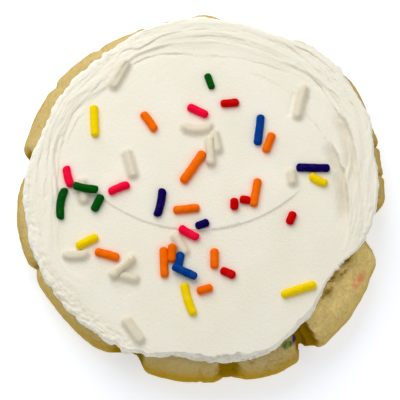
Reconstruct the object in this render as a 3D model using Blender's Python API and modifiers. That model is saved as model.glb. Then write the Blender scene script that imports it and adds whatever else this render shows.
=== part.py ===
"""A frosted birthday cake cookie: a thick, soft sugar cookie with split sides, under a layer of
spread buttercream icing that is dotted with sugar sprinkles.

Sizes are in millimetres and azimuths in degrees until a mesh is made. The origin is under the
middle of the cookie, +Z is up and -Y is the side with the wide broken shoulder in front.
"""

import math
from collections import namedtuple

import bpy
import numpy as np
from mathutils import Vector, noise

MM = 0.001
UP = Vector((0, 0, 1))
CLEARANCE = 0.3

# The cookie, a barrel with a flat foot
COOKIE_RADIUS = 45.2
COOKIE_HEIGHT = 15.0
COOKIE_DOME = 0.5
WIDEST_HEIGHT = 7.0
FOOT_RADIUS = 41.5
SHOULDER_WIDTH = 5.0
BROKEN_SHOULDER_WIDTH = 8.8
BREAK_OPENS = (303, 310)
BREAK_CLOSES = (338, 350)
SPLIT_ROOT_RADIUS = 30.0
CRUMB_DEPTH = 0.5
CRUMB_SIZE = 4.5
COOKIE_TOP_RINGS = (0, 16, 28, 35)
SHOULDER_TURNS = (0, 15, 30, 45, 60, 75, 90)
UNDERCUT_TURNS = (25, 45, 62, 78, 90)
COOKIE_COLUMNS = 150

# The icing, spread thickest at its rim
ICING_RADIUS = 42.8
ICING_THICKNESS = 3.4
ICING_DRAPE = 2.4
BAND_FOOT = 36.0
BAND_STEP_WIDTH = 0.7
BAND_RISE = 0.6
BAND_ENDS = (205, 232)
BAND_BEGINS = (330, 350)
RIDGE_PITCH = 2.7
RIDGE_DEPTH = 0.16
RAGGED_DEPTH = 0.3
RAGGED_SIZE = 3.0
SPREAD_RINGS = (0, 5, 9, 12, 14.5, 17, 19.5, 22, 24.5, 27, 29.5, 32, 34.2)
BAND_RINGS = (38.0, 39.3, 40.6)
UNDER_RINGS = (41.2, 40.0, 38.6, 36.7, 20.0, 0)
ICING_COLUMNS = 104

# Down the icing's blunt lip: how far inside the rim, and how high as a share of the thickness
ICING_LIP = ((0.7, 0.94), (0.1, 0.72), (0, 0.25), (0.5, 0))

# The last stroke of the knife left a crescent step, an arc of a circle
STROKE_MIDDLE = Vector((-1.0, 24.8))
STROKE_RADIUS = 36.1
STROKE_RISE = 0.45
STROKE_FADE = 15.0
STROKE_ENDS = (38.0, 46.0)
STROKE_STEP = 0.3
STROKE_PULL = 1.5

# The sprinkles
SPRINKLE_RADIUS = 1.0
SPRINKLE_SIDES = 6
SPRINKLE_BEDDING = 0.5
SPRINKLE_REST = 0.4
BAKED_IN_PROUD = 0.4

# Over a sprinkle's rounded end: radius and distance from the tip, as shares of its radius
SPRINKLE_END = ((0, 0), (0.72, 0.12), (1.0, 0.6))

# A swelling of an outline: its middle, how far it reaches to each side, and its height
Swell = namedtuple("Swell", "azimuth reach height")

# A split in the cookie's side: how far it reaches back and on from its middle, its depth at the
# top and at the foot, and how steep its walls are (1 is a plain V)
Split = namedtuple("Split", "azimuth back on top foot steep", defaults=(1.0,))

# A pit in the cookie's top beside the icing: its middle, how far it reaches, and its depth
Pit = namedtuple("Pit", "azimuth radius reach depth")

# A sprinkle on the icing: place of its middle, length, heading, how far it bows to the left of
# its heading, how far it lies above its neighbours' bed, the rise of its head, and its girth
Sprinkle = namedtuple("Sprinkle", "x y length heading bow lift tilt girth", defaults=(0, 0, 0, 1))

# A sprinkle that baked into the cookie's side: heading 0 lies level and 90 stands up
BakedIn = namedtuple("BakedIn", "azimuth height length heading")

COOKIE_SWELLS = (
    Swell(312, 50, 2.3),
    Swell(138, 36, 1.0),
    Swell(190, 14, 0.4),
    Swell(90, 14, 0.8),
    Swell(38, 24, 2.4),
    Swell(17, 8, 0.7),
    Swell(291, 11, 0.8),
    Swell(268, 26, 0.65),
)

COOKIE_SPLITS = (
    Split(168, 4, 13, 2.9, 2.9),
    Split(204, 3, 3, 1.2, 1.4),
    Split(248, 12, 6, 3.2, 3.2, 1.2),
    Split(278.5, 4.2, 4.2, 3.0, 0.6, 2.4),
    Split(304, 4, 2.5, 5.2, 3.4, 3.0),
    Split(305.5, 1, 4, 2.4, 2.4),
    Split(348, 9, 10.5, 4.6, 4.6, 1.45),
    Split(143, 3, 3, 0.6, 1.2),
    Split(124, 3, 3, 0.5, 0.8),
    Split(106, 3, 3, 0.8, 1.8, 1.3),
    Split(58, 4, 4, 1.2, 2.2, 1.3),
)

COOKIE_PITS = (
    Pit(333, 39.4, 2.8, 1.2),
    Pit(327, 39.6, 2.6, 1.5),
    Pit(320, 40.2, 2.6, 1.2),
)

ICING_SWELLS = (
    Swell(24, 14, 1.8),
    Swell(43, 17, 2.4),
    Swell(55, 9, 1.3),
    Swell(92, 20, 0.5),
    Swell(126, 24, -1.8),
    Swell(156, 30, -2.0),
    Swell(228, 40, 1.2),
    Swell(246, 6, 0.6),
    Swell(263, 11, -1.3),
    Swell(290, 18, 0.8),
    Swell(303, 10, -0.9),
    Swell(324, 24, -4.5),
    Swell(347, 9, -0.6),
)

BAND_SWELLS = (
    Swell(185, 22, -2.0),
    Swell(210, 15, 2.0),
    Swell(132, 18, -2.4),
    Swell(35, 32, 3.0),
    Swell(0, 12, -1.5),
    Swell(338, 12, 1.0),
)

SPRINKLES = {
    "pink": (
        Sprinkle(-31.8, 2.0, 5.5, -75, bow=-0.34),
        Sprinkle(-19.6, -1.0, 5.5, 23, bow=0.2),
        Sprinkle(-2.8, -12.1, 5.4, -29, bow=-0.15, lift=0.2),
        Sprinkle(-0.7, 18.5, 5.5, -26),
    ),
    "green": (
        Sprinkle(-33.3, -4.7, 7.9, 83, bow=0.58),
        Sprinkle(-27.6, -1.1, 6.3, -11, bow=-0.24, lift=1.1),
        Sprinkle(-24.7, -4.6, 4.5, 63),
        Sprinkle(2.2, 26.1, 4.2, -71, girth=0.86),
    ),
    "yellow": (
        Sprinkle(-27.1, -14.1, 5.8, 27),
        Sprinkle(-2.9, -28.2, 8.2, -73, bow=-0.29),
        Sprinkle(28.3, 1.2, 4.7, -28, bow=-0.31),
        Sprinkle(23.3, -25.8, 8.7, 18),
        Sprinkle(-25.7, 16.0, 8.0, -87),
    ),
    "orange": (
        Sprinkle(-22.3, -17.3, 6.1, -16),
        Sprinkle(-3.4, -6.2, 6.4, 6),
        Sprinkle(-8.7, -19.2, 7.5, -88),
        Sprinkle(-6.8, -17.0, 4.6, 90, tilt=0.8),
        Sprinkle(3.3, -18.3, 5.0, 89),
        Sprinkle(1.0, -25.8, 3.9, 16),
        Sprinkle(-12.5, 15.8, 5.7, -55, bow=0.17),
        Sprinkle(-1.8, 4.3, 9.4, 56, girth=1.1),
        Sprinkle(16.5, 10.5, 5.3, 69),
        Sprinkle(13.2, -2.1, 7.2, 80),
    ),
    "blue": (
        Sprinkle(-5.0, -18.7, 4.2, 80),
        Sprinkle(-3.8, -21.7, 6.5, -25, lift=0.9),
        Sprinkle(14.2, 13.7, 7.8, 83),
    ),
    "purple": (
        Sprinkle(-9.7, -4.6, 7.2, 79, bow=-0.36),
        Sprinkle(0.4, -10.0, 3.5, 20),
        Sprinkle(27.1, 4.2, 8.2, -1),
    ),
    "red": (
        Sprinkle(6.5, -21.8, 3.9, -24),
        Sprinkle(7.1, 20.5, 4.6, 5),
        Sprinkle(10.7, -3.9, 2.8, -8),
        Sprinkle(8.1, -5.0, 3.0, 90, tilt=0.8),
        Sprinkle(21.7, -8.3, 3.4, 68),
    ),
    "white": (
        Sprinkle(-28.3, -1.6, 6.2, -82),
        Sprinkle(-17.0, 5.2, 7.3, -75),
        Sprinkle(-29.8, -17.4, 5.9, 2, bow=-0.29, lift=-0.3),
        Sprinkle(-18.6, -20.3, 7.2, 42, lift=0.7),
        Sprinkle(-17.1, -22.8, 4.8, -15),
        Sprinkle(-4.9, -14.7, 6.1, -59),
        Sprinkle(-0.9, 14.2, 7.5, 0, bow=-0.9),
        Sprinkle(2.3, 8.4, 7.3, -88, lift=0.5),
        Sprinkle(3.7, 10.7, 5.7, -78),
        Sprinkle(24.3, 20.8, 8.6, 77),
        Sprinkle(22.0, 1.8, 4.0, -83),
        Sprinkle(-19.7, 27.8, 7.6, 62, lift=-0.4, girth=1.15),
        Sprinkle(-15.9, -35.7, 7.0, -54, lift=-0.4, girth=1.15),
    ),
}

BAKED_IN = {
    "pink": (
        BakedIn(330, 12.5, 5.6, -10),
        BakedIn(21, 5.5, 5.0, 15),
    ),
    "green": (
        BakedIn(298.4, 14.35, 3.2, 5),
        BakedIn(251, 10.0, 3.6, 60),
    ),
    "yellow": (BakedIn(152, 5.5, 6.0, -10),),
    "orange": (BakedIn(116, 4.5, 5.0, 30),),
    "blue": (BakedIn(74, 6.0, 6.0, -20),),
    "purple": (BakedIn(300.5, 14.1, 2.8, 0),),
    "red": (BakedIn(52, 5.0, 5.0, 30),),
}

# Colours as seen (sRGB)
COOKIE_COLOUR = (0.78, 0.68, 0.43)
ICING_COLOUR = (0.95, 0.93, 0.86)
SPRINKLE_COLOURS = {
    "pink": (0.90, 0.05, 0.22),
    "green": (0.00, 0.30, 0.03),
    "yellow": (0.95, 0.80, 0.03),
    "orange": (0.98, 0.40, 0.00),
    "blue": (0.00, 0.22, 0.55),
    "purple": (0.12, 0.00, 0.35),
    "red": (0.72, 0.00, 0.00),
    "white": (0.89, 0.87, 0.80),
}
COOKIE_ROUGHNESS = 0.85
ICING_ROUGHNESS = 0.6
SUGAR_ROUGHNESS = 0.35
COOKIE_SHARP = 50
ICING_SHARP = 40


def clear_scene():
    for item in list(bpy.data.objects):
        bpy.data.objects.remove(item)


def linear(shade):
    """One sRGB channel as the linear value that a shader takes."""
    return shade / 12.92 if shade <= 0.04045 else ((shade + 0.055) / 1.055) ** 2.4


def food_material(name, colour, roughness):
    material = bpy.data.materials.new(name)
    material.use_nodes = True
    shader = material.node_tree.nodes["Principled BSDF"]
    shader.inputs["Base Color"].default_value = [*map(linear, colour), 1.0]
    shader.inputs["Roughness"].default_value = roughness
    shader.inputs["Metallic"].default_value = 0.0
    return material


def sugar_materials():
    return {
        colour: food_material(f"sugar_{colour}", shade, SUGAR_ROUGHNESS)
        for colour, shade in SPRINKLE_COLOURS.items()
    }


def new_collection(name):
    group = bpy.data.collections.new(name)
    bpy.context.scene.collection.children.link(group)
    return group


def smooth(value, low, high):
    """0 below low, 1 above high, and an S between them."""
    share = min(max((value - low) / (high - low), 0.0), 1.0)
    return share * share * (3 - 2 * share)


def turn_between(azimuth, other):
    """The signed angle from one azimuth to another, from -180 to 180 degrees."""
    return (other - azimuth + 180) % 360 - 180


def swelling(azimuth, swells):
    total = 0.0
    for swell in swells:
        share = abs(turn_between(swell.azimuth, azimuth)) / swell.reach
        if share < 1:
            total += swell.height * (1 + math.cos(math.pi * share)) / 2
    return total


def turned(name, profile, steps, material, group):
    """A solid of revolution from (radius, height) points that run down its outer side."""
    points = [(radius * MM, 0, height * MM) for radius, height in profile]
    edges = [(i, i + 1) for i in range(len(points) - 1)]
    mesh = bpy.data.meshes.new(name)
    mesh.from_pydata(points, edges, [])
    solid = bpy.data.objects.new(name, mesh)
    group.objects.link(solid)
    screw = solid.modifiers.new("Turn", "SCREW")
    screw.steps = steps
    screw.render_steps = steps
    screw.use_merge_vertices = True
    screw.merge_threshold = 0.00001
    apply_modifiers(solid)
    solid.data.materials.append(material)
    return solid


def apply_modifiers(solid):
    evaluated = solid.evaluated_get(bpy.context.evaluated_depsgraph_get())
    mesh = bpy.data.meshes.new_from_object(evaluated)
    solid.modifiers.clear()
    solid.data = mesh
    mesh.name = solid.name


def mould(solid, rule):
    """Moves each vertex of a turned blank to where the rule puts it."""
    for vertex in solid.data.vertices:
        x, y, z = vertex.co / MM
        azimuth = math.degrees(math.atan2(y, x)) % 360
        vertex.co = rule(math.hypot(x, y), azimuth, z) * MM


def at(radius, azimuth, height):
    angle = math.radians(azimuth)
    return Vector((radius * math.cos(angle), radius * math.sin(angle), height))


# The cookie

def column_places(marks, pull=5.0, spread=4.0):
    """How evenly spread columns move, so that they stand closer together round the marks."""
    azimuths = np.linspace(0, 360, 3601)
    density = np.ones_like(azimuths)
    for mark in marks:
        away = (azimuths - mark + 180) % 360 - 180
        density += pull * np.exp(-((away / spread) ** 2))
    walk = np.cumsum(density) - density[0]
    return walk * 360 / walk[-1], azimuths


SPLIT_COLUMNS = column_places([split.azimuth for split in COOKIE_SPLITS])


def cookie_edge(azimuth):
    return COOKIE_RADIUS + swelling(azimuth, COOKIE_SWELLS)


def crown_height(radius):
    return COOKIE_HEIGHT - COOKIE_DOME * (radius / COOKIE_RADIUS) ** 2


def cookie_brow(azimuth):
    """The radius where the flat top ends and the shoulder begins."""
    broken = smooth(azimuth, *BREAK_OPENS) - smooth(azimuth, *BREAK_CLOSES)
    width = SHOULDER_WIDTH + (BROKEN_SHOULDER_WIDTH - SHOULDER_WIDTH) * broken
    return cookie_edge(azimuth) - width


def cookie_top(radius, azimuth):
    """The height of the top and the shoulder, before the splits and pits are sunk."""
    edge = cookie_edge(azimuth)
    brow = cookie_brow(azimuth)
    share = min(max((radius - brow) / (edge - brow), 0.0), 1.0)
    return WIDEST_HEIGHT + (crown_height(radius) - WIDEST_HEIGHT) * math.sqrt(1 - share * share)


def split_depth(azimuth, height):
    deepest = 0.0
    for split in COOKIE_SPLITS:
        away = turn_between(split.azimuth, azimuth)
        reach = split.on if away > 0 else split.back
        share = min((1 - abs(away) / reach) * split.steep, 1.0)
        depth = split.foot + (split.top - split.foot) * height / COOKIE_HEIGHT
        deepest = max(deepest, share * depth)
    return deepest


def pit_depth(place):
    """Raised cosines, as deep as the pits' middles."""
    total = 0.0
    for pit in COOKIE_PITS:
        away = (place.xy - at(pit.radius, pit.azimuth, 0).xy).length
        if away < pit.reach:
            total += pit.depth * (1 + math.cos(math.pi * away / pit.reach)) / 2
    return total


def cookie_point(radius, azimuth, height):
    azimuth = float(np.interp(azimuth, *SPLIT_COLUMNS))
    edge = cookie_edge(azimuth)
    brow = cookie_brow(azimuth)
    blank_brow = COOKIE_RADIUS - SHOULDER_WIDTH
    if height < WIDEST_HEIGHT:
        radius *= edge / COOKIE_RADIUS
    elif radius <= blank_brow:
        radius *= brow / blank_brow
        height = cookie_top(radius, azimuth)
    else:
        radius = brow + (radius - blank_brow) * (edge - brow) / SHOULDER_WIDTH
        height = cookie_top(radius, azimuth)
    outer = max(radius - SPLIT_ROOT_RADIUS, 0.0) / (edge - SPLIT_ROOT_RADIUS)
    crumb = CRUMB_DEPTH * abs(noise.noise(at(radius, azimuth, height) / CRUMB_SIZE))
    radius -= (split_depth(azimuth, height) + crumb) * outer
    place = at(radius, azimuth, height)
    if height > WIDEST_HEIGHT:
        place.z -= pit_depth(place)
    return place


def cookie_profile():
    """Over the top, down the shoulder, round the bulging side and under the foot."""
    crown = COOKIE_HEIGHT - WIDEST_HEIGHT
    brow = COOKIE_RADIUS - SHOULDER_WIDTH
    undercut = COOKIE_RADIUS - FOOT_RADIUS
    profile = [(radius, COOKIE_HEIGHT) for radius in COOKIE_TOP_RINGS]
    for turn in map(math.radians, SHOULDER_TURNS):
        profile.append((brow + SHOULDER_WIDTH * math.sin(turn), WIDEST_HEIGHT + crown * math.cos(turn)))
    for turn in map(math.radians, UNDERCUT_TURNS):
        profile.append((FOOT_RADIUS + undercut * math.cos(turn), WIDEST_HEIGHT * (1 - math.sin(turn))))
    return profile + [(0, 0)]


# The icing

def icing_edge(azimuth):
    ragged = RAGGED_DEPTH * noise.noise(at(ICING_RADIUS, azimuth, 0) / RAGGED_SIZE)
    return ICING_RADIUS + swelling(azimuth, ICING_SWELLS) + ragged


def band_foot(azimuth):
    """The inner edge of the raised band that the knife left round the rim."""
    return BAND_FOOT + swelling(azimuth, BAND_SWELLS)


def band_share(azimuth):
    """1 where the raised band stands in full, 0 along the smooth front edge."""
    return 1 - smooth(azimuth, *BAND_ENDS) + smooth(azimuth, *BAND_BEGINS)


def icing_floor(radius, azimuth):
    top = cookie_top(radius, azimuth)
    return max(top, COOKIE_HEIGHT - ICING_DRAPE) + CLEARANCE


def stroke_distance(x, y):
    """How far inside the arc of the last stroke a place lies."""
    return STROKE_RADIUS - (Vector((x, y)) - STROKE_MIDDLE).length


def stroke_relief(x, y):
    """A crisp step up into the arc, which fades out behind it and at both ends."""
    inside = stroke_distance(x, y)
    lean = math.degrees(math.atan2(x - STROKE_MIDDLE.x, STROKE_MIDDLE.y - y))
    step = smooth(inside, -STROKE_STEP, STROKE_STEP) * (1 - smooth(inside, 0, STROKE_FADE))
    return STROKE_RISE * step * (1 - smooth(abs(lean), *STROKE_ENDS))


def icing_top(radius, azimuth):
    foot = band_foot(azimuth)
    place = at(radius, azimuth, 0)
    band = band_share(azimuth) * smooth(radius, foot, foot + BAND_STEP_WIDTH)
    ridges = RIDGE_DEPTH * math.cos(2 * math.pi * (radius - foot) / RIDGE_PITCH)
    body = crown_height(radius) + CLEARANCE + ICING_THICKNESS
    return body + band * (BAND_RISE + ridges) + stroke_relief(place.x, place.y)


def on_icing(place):
    azimuth = math.degrees(math.atan2(place.y, place.x)) % 360
    return Vector((place.x, place.y, icing_top(place.xy.length, azimuth)))


def drawn_to_stroke(place):
    """Draws a place near the arc of the last stroke close to it, so that the step is crisp."""
    inside = stroke_distance(place.x, place.y)
    if abs(inside) > STROKE_PULL:
        return place
    share = abs(inside) / STROKE_PULL
    drawn = math.copysign(STROKE_STEP + (STROKE_PULL - STROKE_STEP) * share ** 3, inside)
    outward = (place.xy - STROKE_MIDDLE).normalized()
    return place + (outward * (inside - drawn)).to_3d()


def icing_point(radius, azimuth, height):
    foot = band_foot(azimuth)
    crest = foot + BAND_STEP_WIDTH
    blank = (0, BAND_FOOT, BAND_FOOT + BAND_STEP_WIDTH, ICING_RADIUS)
    radius = float(np.interp(radius, blank, (0, foot, crest, icing_edge(azimuth))))
    if math.isclose(height, ICING_THICKNESS, rel_tol=0.001):
        return on_icing(drawn_to_stroke(at(radius, azimuth, 0)))
    floor = icing_floor(radius, azimuth)
    rise = (icing_top(radius, azimuth) - floor) * height / ICING_THICKNESS
    return at(radius, azimuth, floor + rise)


def icing_profile():
    """Over the spread top, down the blunt lip and back under the layer."""
    rings = (*SPREAD_RINGS, BAND_FOOT, BAND_FOOT + BAND_STEP_WIDTH, *BAND_RINGS)
    profile = [(radius, ICING_THICKNESS) for radius in rings]
    profile += [(ICING_RADIUS - inset, level * ICING_THICKNESS) for inset, level in ICING_LIP]
    return profile + [(radius, 0) for radius in UNDER_RINGS]


# The sprinkles

def sprinkle_profile(shape):
    """Down the rod, with one more ring at its waist if it is bowed."""
    half = shape.length / 2
    girth = SPRINKLE_RADIUS * shape.girth
    down = [(girth * across, half - girth * back) for across, back in SPRINKLE_END]
    waist = [(girth, 0)] if shape.bow else []
    return down + waist + [(radius, -height) for radius, height in reversed(down)]


def lay_sprinkle(name, middle, along, out, shape, material, group):
    """A short rod with rounded ends, bowed in the plane square to out."""
    rod = turned(name, sprinkle_profile(shape), SPRINKLE_SIDES, material, group)
    left = out.cross(along).normalized()
    out = along.cross(left)
    for vertex in rod.data.vertices:
        x, y, z = vertex.co / MM
        bow = shape.bow * (0.5 - (2 * z / shape.length) ** 2)
        vertex.co = (middle + along * z + left * (x + bow) + out * y) * MM
    return rod


def lay_on_icing(name, shape, material, group):
    """Lays a sprinkle on the icing under its middle and near its two ends."""
    middle = Vector((shape.x, shape.y, 0))
    reach = at(shape.length * SPRINKLE_REST, shape.heading, 0)
    tail, waist, head = map(on_icing, (middle - reach, middle, middle + reach))
    head.z += shape.tilt
    along = (head - tail).normalized()
    proud = SPRINKLE_RADIUS * shape.girth - SPRINKLE_BEDDING + shape.lift
    middle.z = (tail.z + waist.z + head.z) / 3 + proud
    return lay_sprinkle(name, middle, along, UP, shape, material, group)


def lay_in_side(name, baked, cookie, material, group):
    outside = at(2 * COOKIE_RADIUS, baked.azimuth, baked.height) * MM
    inward = -at(1, baked.azimuth, 0)
    _, place, out, _ = cookie.ray_cast(outside, inward)
    level = UP.cross(out).normalized()
    heading = math.radians(baked.heading)
    along = level * math.cos(heading) + out.cross(level) * math.sin(heading)
    middle = place / MM - out * (SPRINKLE_RADIUS - BAKED_IN_PROUD)
    shape = Sprinkle(0, 0, baked.length, 0)
    return lay_sprinkle(name, middle, along, out, shape, material, group)


def fuse(solid, group):
    """Joins a collection's objects to a solid by one union and clears them away."""
    union = solid.modifiers.new("Fuse", "BOOLEAN")
    union.operation = "UNION"
    union.operand_type = "COLLECTION"
    union.collection = group
    union.material_mode = "TRANSFER"
    apply_modifiers(solid)
    for rod in list(group.objects):
        bpy.data.objects.remove(rod)
    bpy.data.collections.remove(group)


def shade_smooth(solid, sharp_angle):
    solid.data.shade_smooth()
    solid.data.set_sharp_from_angle(angle=math.radians(sharp_angle))


def make_cookie(sugar, group):
    dough = food_material("baked_cookie", COOKIE_COLOUR, COOKIE_ROUGHNESS)
    cookie = turned("cookie", cookie_profile(), COOKIE_COLUMNS, dough, group)
    mould(cookie, cookie_point)
    bpy.context.view_layer.update()
    rods = new_collection("baked_in_sprinkles")
    for colour, sprinkles in BAKED_IN.items():
        for number, baked in enumerate(sprinkles):
            lay_in_side(f"baked_in_{colour}_{number}", baked, cookie, sugar[colour], rods)
    fuse(cookie, rods)
    shade_smooth(cookie, COOKIE_SHARP)


def make_icing(sugar, group):
    buttercream = food_material("buttercream_icing", ICING_COLOUR, ICING_ROUGHNESS)
    icing = turned("icing", icing_profile(), ICING_COLUMNS, buttercream, group)
    mould(icing, icing_point)
    rods = new_collection("icing_sprinkles")
    for colour, sprinkles in SPRINKLES.items():
        for number, shape in enumerate(sprinkles):
            lay_on_icing(f"{colour}_{number}", shape, sugar[colour], rods)
    fuse(icing, rods)
    shade_smooth(icing, ICING_SHARP)


def main():
    clear_scene()
    group = new_collection("birthday_cake_cookie")
    sugar = sugar_materials()
    make_cookie(sugar, group)
    make_icing(sugar, group)


main()
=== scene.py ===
"""The looks of a frosted birthday cake cookie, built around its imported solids.

Sizes are in millimetres and azimuths in degrees until a mesh is made, in the solids' own frame:
the origin is under the middle of the cookie, +Z is up and -Y is the side nearest the camera.
"""

import itertools
import math
from collections import namedtuple

import bpy
import numpy as np
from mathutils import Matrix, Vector


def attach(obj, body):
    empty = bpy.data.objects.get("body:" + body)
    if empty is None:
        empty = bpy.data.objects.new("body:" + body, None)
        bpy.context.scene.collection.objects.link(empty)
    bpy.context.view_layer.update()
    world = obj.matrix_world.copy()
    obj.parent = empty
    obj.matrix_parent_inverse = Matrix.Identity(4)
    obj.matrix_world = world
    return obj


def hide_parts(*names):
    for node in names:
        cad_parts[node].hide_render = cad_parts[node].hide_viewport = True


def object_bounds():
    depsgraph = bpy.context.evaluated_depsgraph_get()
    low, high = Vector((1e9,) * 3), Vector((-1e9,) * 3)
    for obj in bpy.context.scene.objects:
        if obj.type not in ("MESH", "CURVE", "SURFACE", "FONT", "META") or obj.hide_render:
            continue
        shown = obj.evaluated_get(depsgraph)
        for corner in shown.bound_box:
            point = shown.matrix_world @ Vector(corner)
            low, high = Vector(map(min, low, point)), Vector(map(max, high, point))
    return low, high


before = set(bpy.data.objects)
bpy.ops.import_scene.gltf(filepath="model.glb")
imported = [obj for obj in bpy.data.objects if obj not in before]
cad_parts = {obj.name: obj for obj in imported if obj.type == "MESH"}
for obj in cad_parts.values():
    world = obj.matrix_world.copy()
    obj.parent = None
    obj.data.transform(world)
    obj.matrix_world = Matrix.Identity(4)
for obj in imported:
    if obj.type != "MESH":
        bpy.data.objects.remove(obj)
CAD_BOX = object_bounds()

MM = 0.001
UP = np.array((0.0, 0.0, 1.0))
CLEARANCE = 0.3

# The cookie, with the sizes of its solid
COOKIE_RADIUS = 45.2
COOKIE_HEIGHT = 15.0
COOKIE_DOME = 0.5
WIDEST_HEIGHT = 7.0
FOOT_RADIUS = 41.5
SHOULDER_WIDTH = 5.0
BROKEN_SHOULDER_WIDTH = 8.8
BREAK_OPENS = (303, 310)
BREAK_CLOSES = (338, 350)
SPLIT_ROOT_RADIUS = 30.0

# The icing, with the sizes of its solid
ICING_RADIUS = 42.8
ICING_THICKNESS = 3.4
ICING_DRAPE = 2.4
BAND_FOOT = 36.0
BAND_STEP_WIDTH = 0.7
BAND_RISE = 0.6
BAND_ENDS = (205, 232)
BAND_BEGINS = (330, 350)
RIDGE_PITCH = 2.7
RIDGE_DEPTH = 0.16
RIDGE_WEAR = 0.5

# The crescent step that the last stroke of the knife left, an arc of a circle
STROKE_MIDDLE = np.array((-1.0, 24.8))
STROKE_RADIUS = 36.1
STROKE_RISE = 0.45
STROKE_FADE = 15.0
STROKE_ENDS = (38.0, 46.0)
STROKE_STEP = 0.15
# The mesh is drawn to it from this far
STROKE_PULL = 1.5

# The sprinkles
SPRINKLE_RADIUS = 1.0
SPRINKLE_BEDDING = 0.5
SPRINKLE_REST = 0.4
BAKED_IN_PROUD = 0.4


def table(kind, *rows):
    """A named tuple of one kind for each row of values."""
    return tuple(kind(*row) for row in rows)


def tables(kind, groups):
    """A table for each colour."""
    return {colour: table(kind, *rows) for colour, rows in groups.items()}


# Noise over a surface: how strong it is, how large its lumps are, its layers and its seed
Noise = namedtuple("Noise", "strength size layers seed")

# Noise that is drawn out along the rim: its strength, its size across and along, and its seed
Streaks = namedtuple("Streaks", "strength across along seed")

# A swelling of an outline: its middle, how far it reaches to each side, and its height
Swell = namedtuple("Swell", "azimuth reach height")

# A split in the cookie's side: how far it reaches back and on from its middle, its depth at the
# top and at the foot, and how steep its walls are (1 is a plain V)
Split = namedtuple("Split", "azimuth back on top foot steep", defaults=(1.0,))

# A pit in the cookie's top beside the icing: its middle, how far it reaches, and its depth
Pit = namedtuple("Pit", "azimuth radius reach depth")

# A sprinkle on the icing: place of its middle, length, heading, how far it bows to the left of
# its heading, how far it lies above its neighbours' bed, the rise of its head, and its girth
Sprinkle = namedtuple("Sprinkle", "x y length heading bow lift tilt girth", defaults=(0, 0, 0, 1))

# A sprinkle that baked into the cookie's side: heading 0 lies level and 90 stands up, and how
# strong its colour still is
BakedIn = namedtuple("BakedIn", "azimuth height length heading strength", defaults=(1.0,))

COOKIE_SWELLS = table(
    Swell, (312, 50, 2.3), (138, 36, 1.0), (190, 14, 0.4), (90, 14, 0.8), (38, 24, 2.4),
    (17, 8, 0.7), (291, 11, 0.8), (268, 26, 0.65),
)

COOKIE_SPLITS = table(
    Split, (168, 4, 13, 2.9, 2.9), (204, 3, 3, 1.2, 1.4), (248, 12, 6, 3.2, 3.2, 1.2),
    (278.5, 4.2, 4.2, 3.0, 0.6, 2.4), (304, 4, 2.5, 5.2, 3.4, 3.0), (305.5, 1, 4, 2.4, 2.4),
    (348, 9, 10.5, 4.6, 4.6, 1.45), (143, 3, 3, 0.6, 1.2), (124, 3, 3, 0.5, 0.8),
    (106, 3, 3, 0.8, 1.8, 1.3), (58, 4, 4, 1.2, 2.2, 1.3),
)

# Where the finished rim lies a little further in than the solid's
COOKIE_TRIMS = table(Swell, (219, 16, -0.35), (180, 12, -0.35))

# Narrow nicks in the rim that the solid leaves out
FINE_SPLITS = table(
    Split, (16, 1.5, 1.5, 1.6, 0.6), (6.4, 1.2, 1.2, 1.8, 0.8), (270, 1.3, 1.6, 0.7, 0.1),
)

# Splits whose walls are rounder or crisper than the plain slanting ones of the solid
RESHAPED_SPLITS = table(
    Split, (204.4, 3, 4.6, 1.5, 1.7), (248.4, 15, 6.4, 3.3, 3.3), (278.2, 4.4, 6.6, 3.4, 0.5, 1.35),
    (304, 4.8, 2.5, 5.2, 3.4, 1.3), (306, 2, 2.2, 4.6, 0.6, 2.0), (348, 10, 11.5, 4.6, 4.6, 1.45),
)

FINISHED_SPLITS = RESHAPED_SPLITS + FINE_SPLITS + tuple(
    split
    for split in COOKIE_SPLITS
    if min(abs(split.azimuth - reshaped.azimuth) for reshaped in RESHAPED_SPLITS) > 0.4
)

# A lump on the cookie's side, or a hollow if it has a negative rise: its middle, how high up it
# stands, how far it reaches and its rise
Knob = namedtuple("Knob", "azimuth height reach rise")

KNOBS = table(
    Knob, (109, 12.0, 3.5, 0.6), (101, 12.0, 4.0, 0.8), (88.5, 12.0, 6.0, 0.9),
    (77.5, 12.0, 3.0, 1.0), (68, 12.0, 2.0, 0.9), (330, 13.0, 4.5, 0.35), (318, 12.5, 4.0, 0.3),
    (309, 12.0, 3.0, 0.3), (334.5, 7.5, 5.0, -0.9), (326, 7.5, 6.0, -0.5), (315.5, 7.5, 6.0, -0.6),
)

COOKIE_PITS = table(Pit, (333, 39.4, 2.8, 1.2), (327, 39.6, 2.6, 1.5), (320, 40.2, 2.6, 1.2))

ICING_SWELLS = table(
    Swell, (24, 14, 1.8), (43, 17, 2.4), (55, 9, 1.3), (92, 20, 0.5), (126, 24, -1.8),
    (156, 30, -2.0), (228, 40, 1.2), (246, 6, 0.6), (263, 11, -1.3), (290, 18, 0.8),
    (303, 10, -0.9), (324, 24, -4.5), (347, 9, -0.6),
)

BAND_SWELLS = table(
    Swell, (185, 22, -2.0), (210, 15, 2.0), (132, 18, -2.4), (35, 32, 3.0), (0, 12, -1.5),
    (338, 12, 1.0),
)

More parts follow.
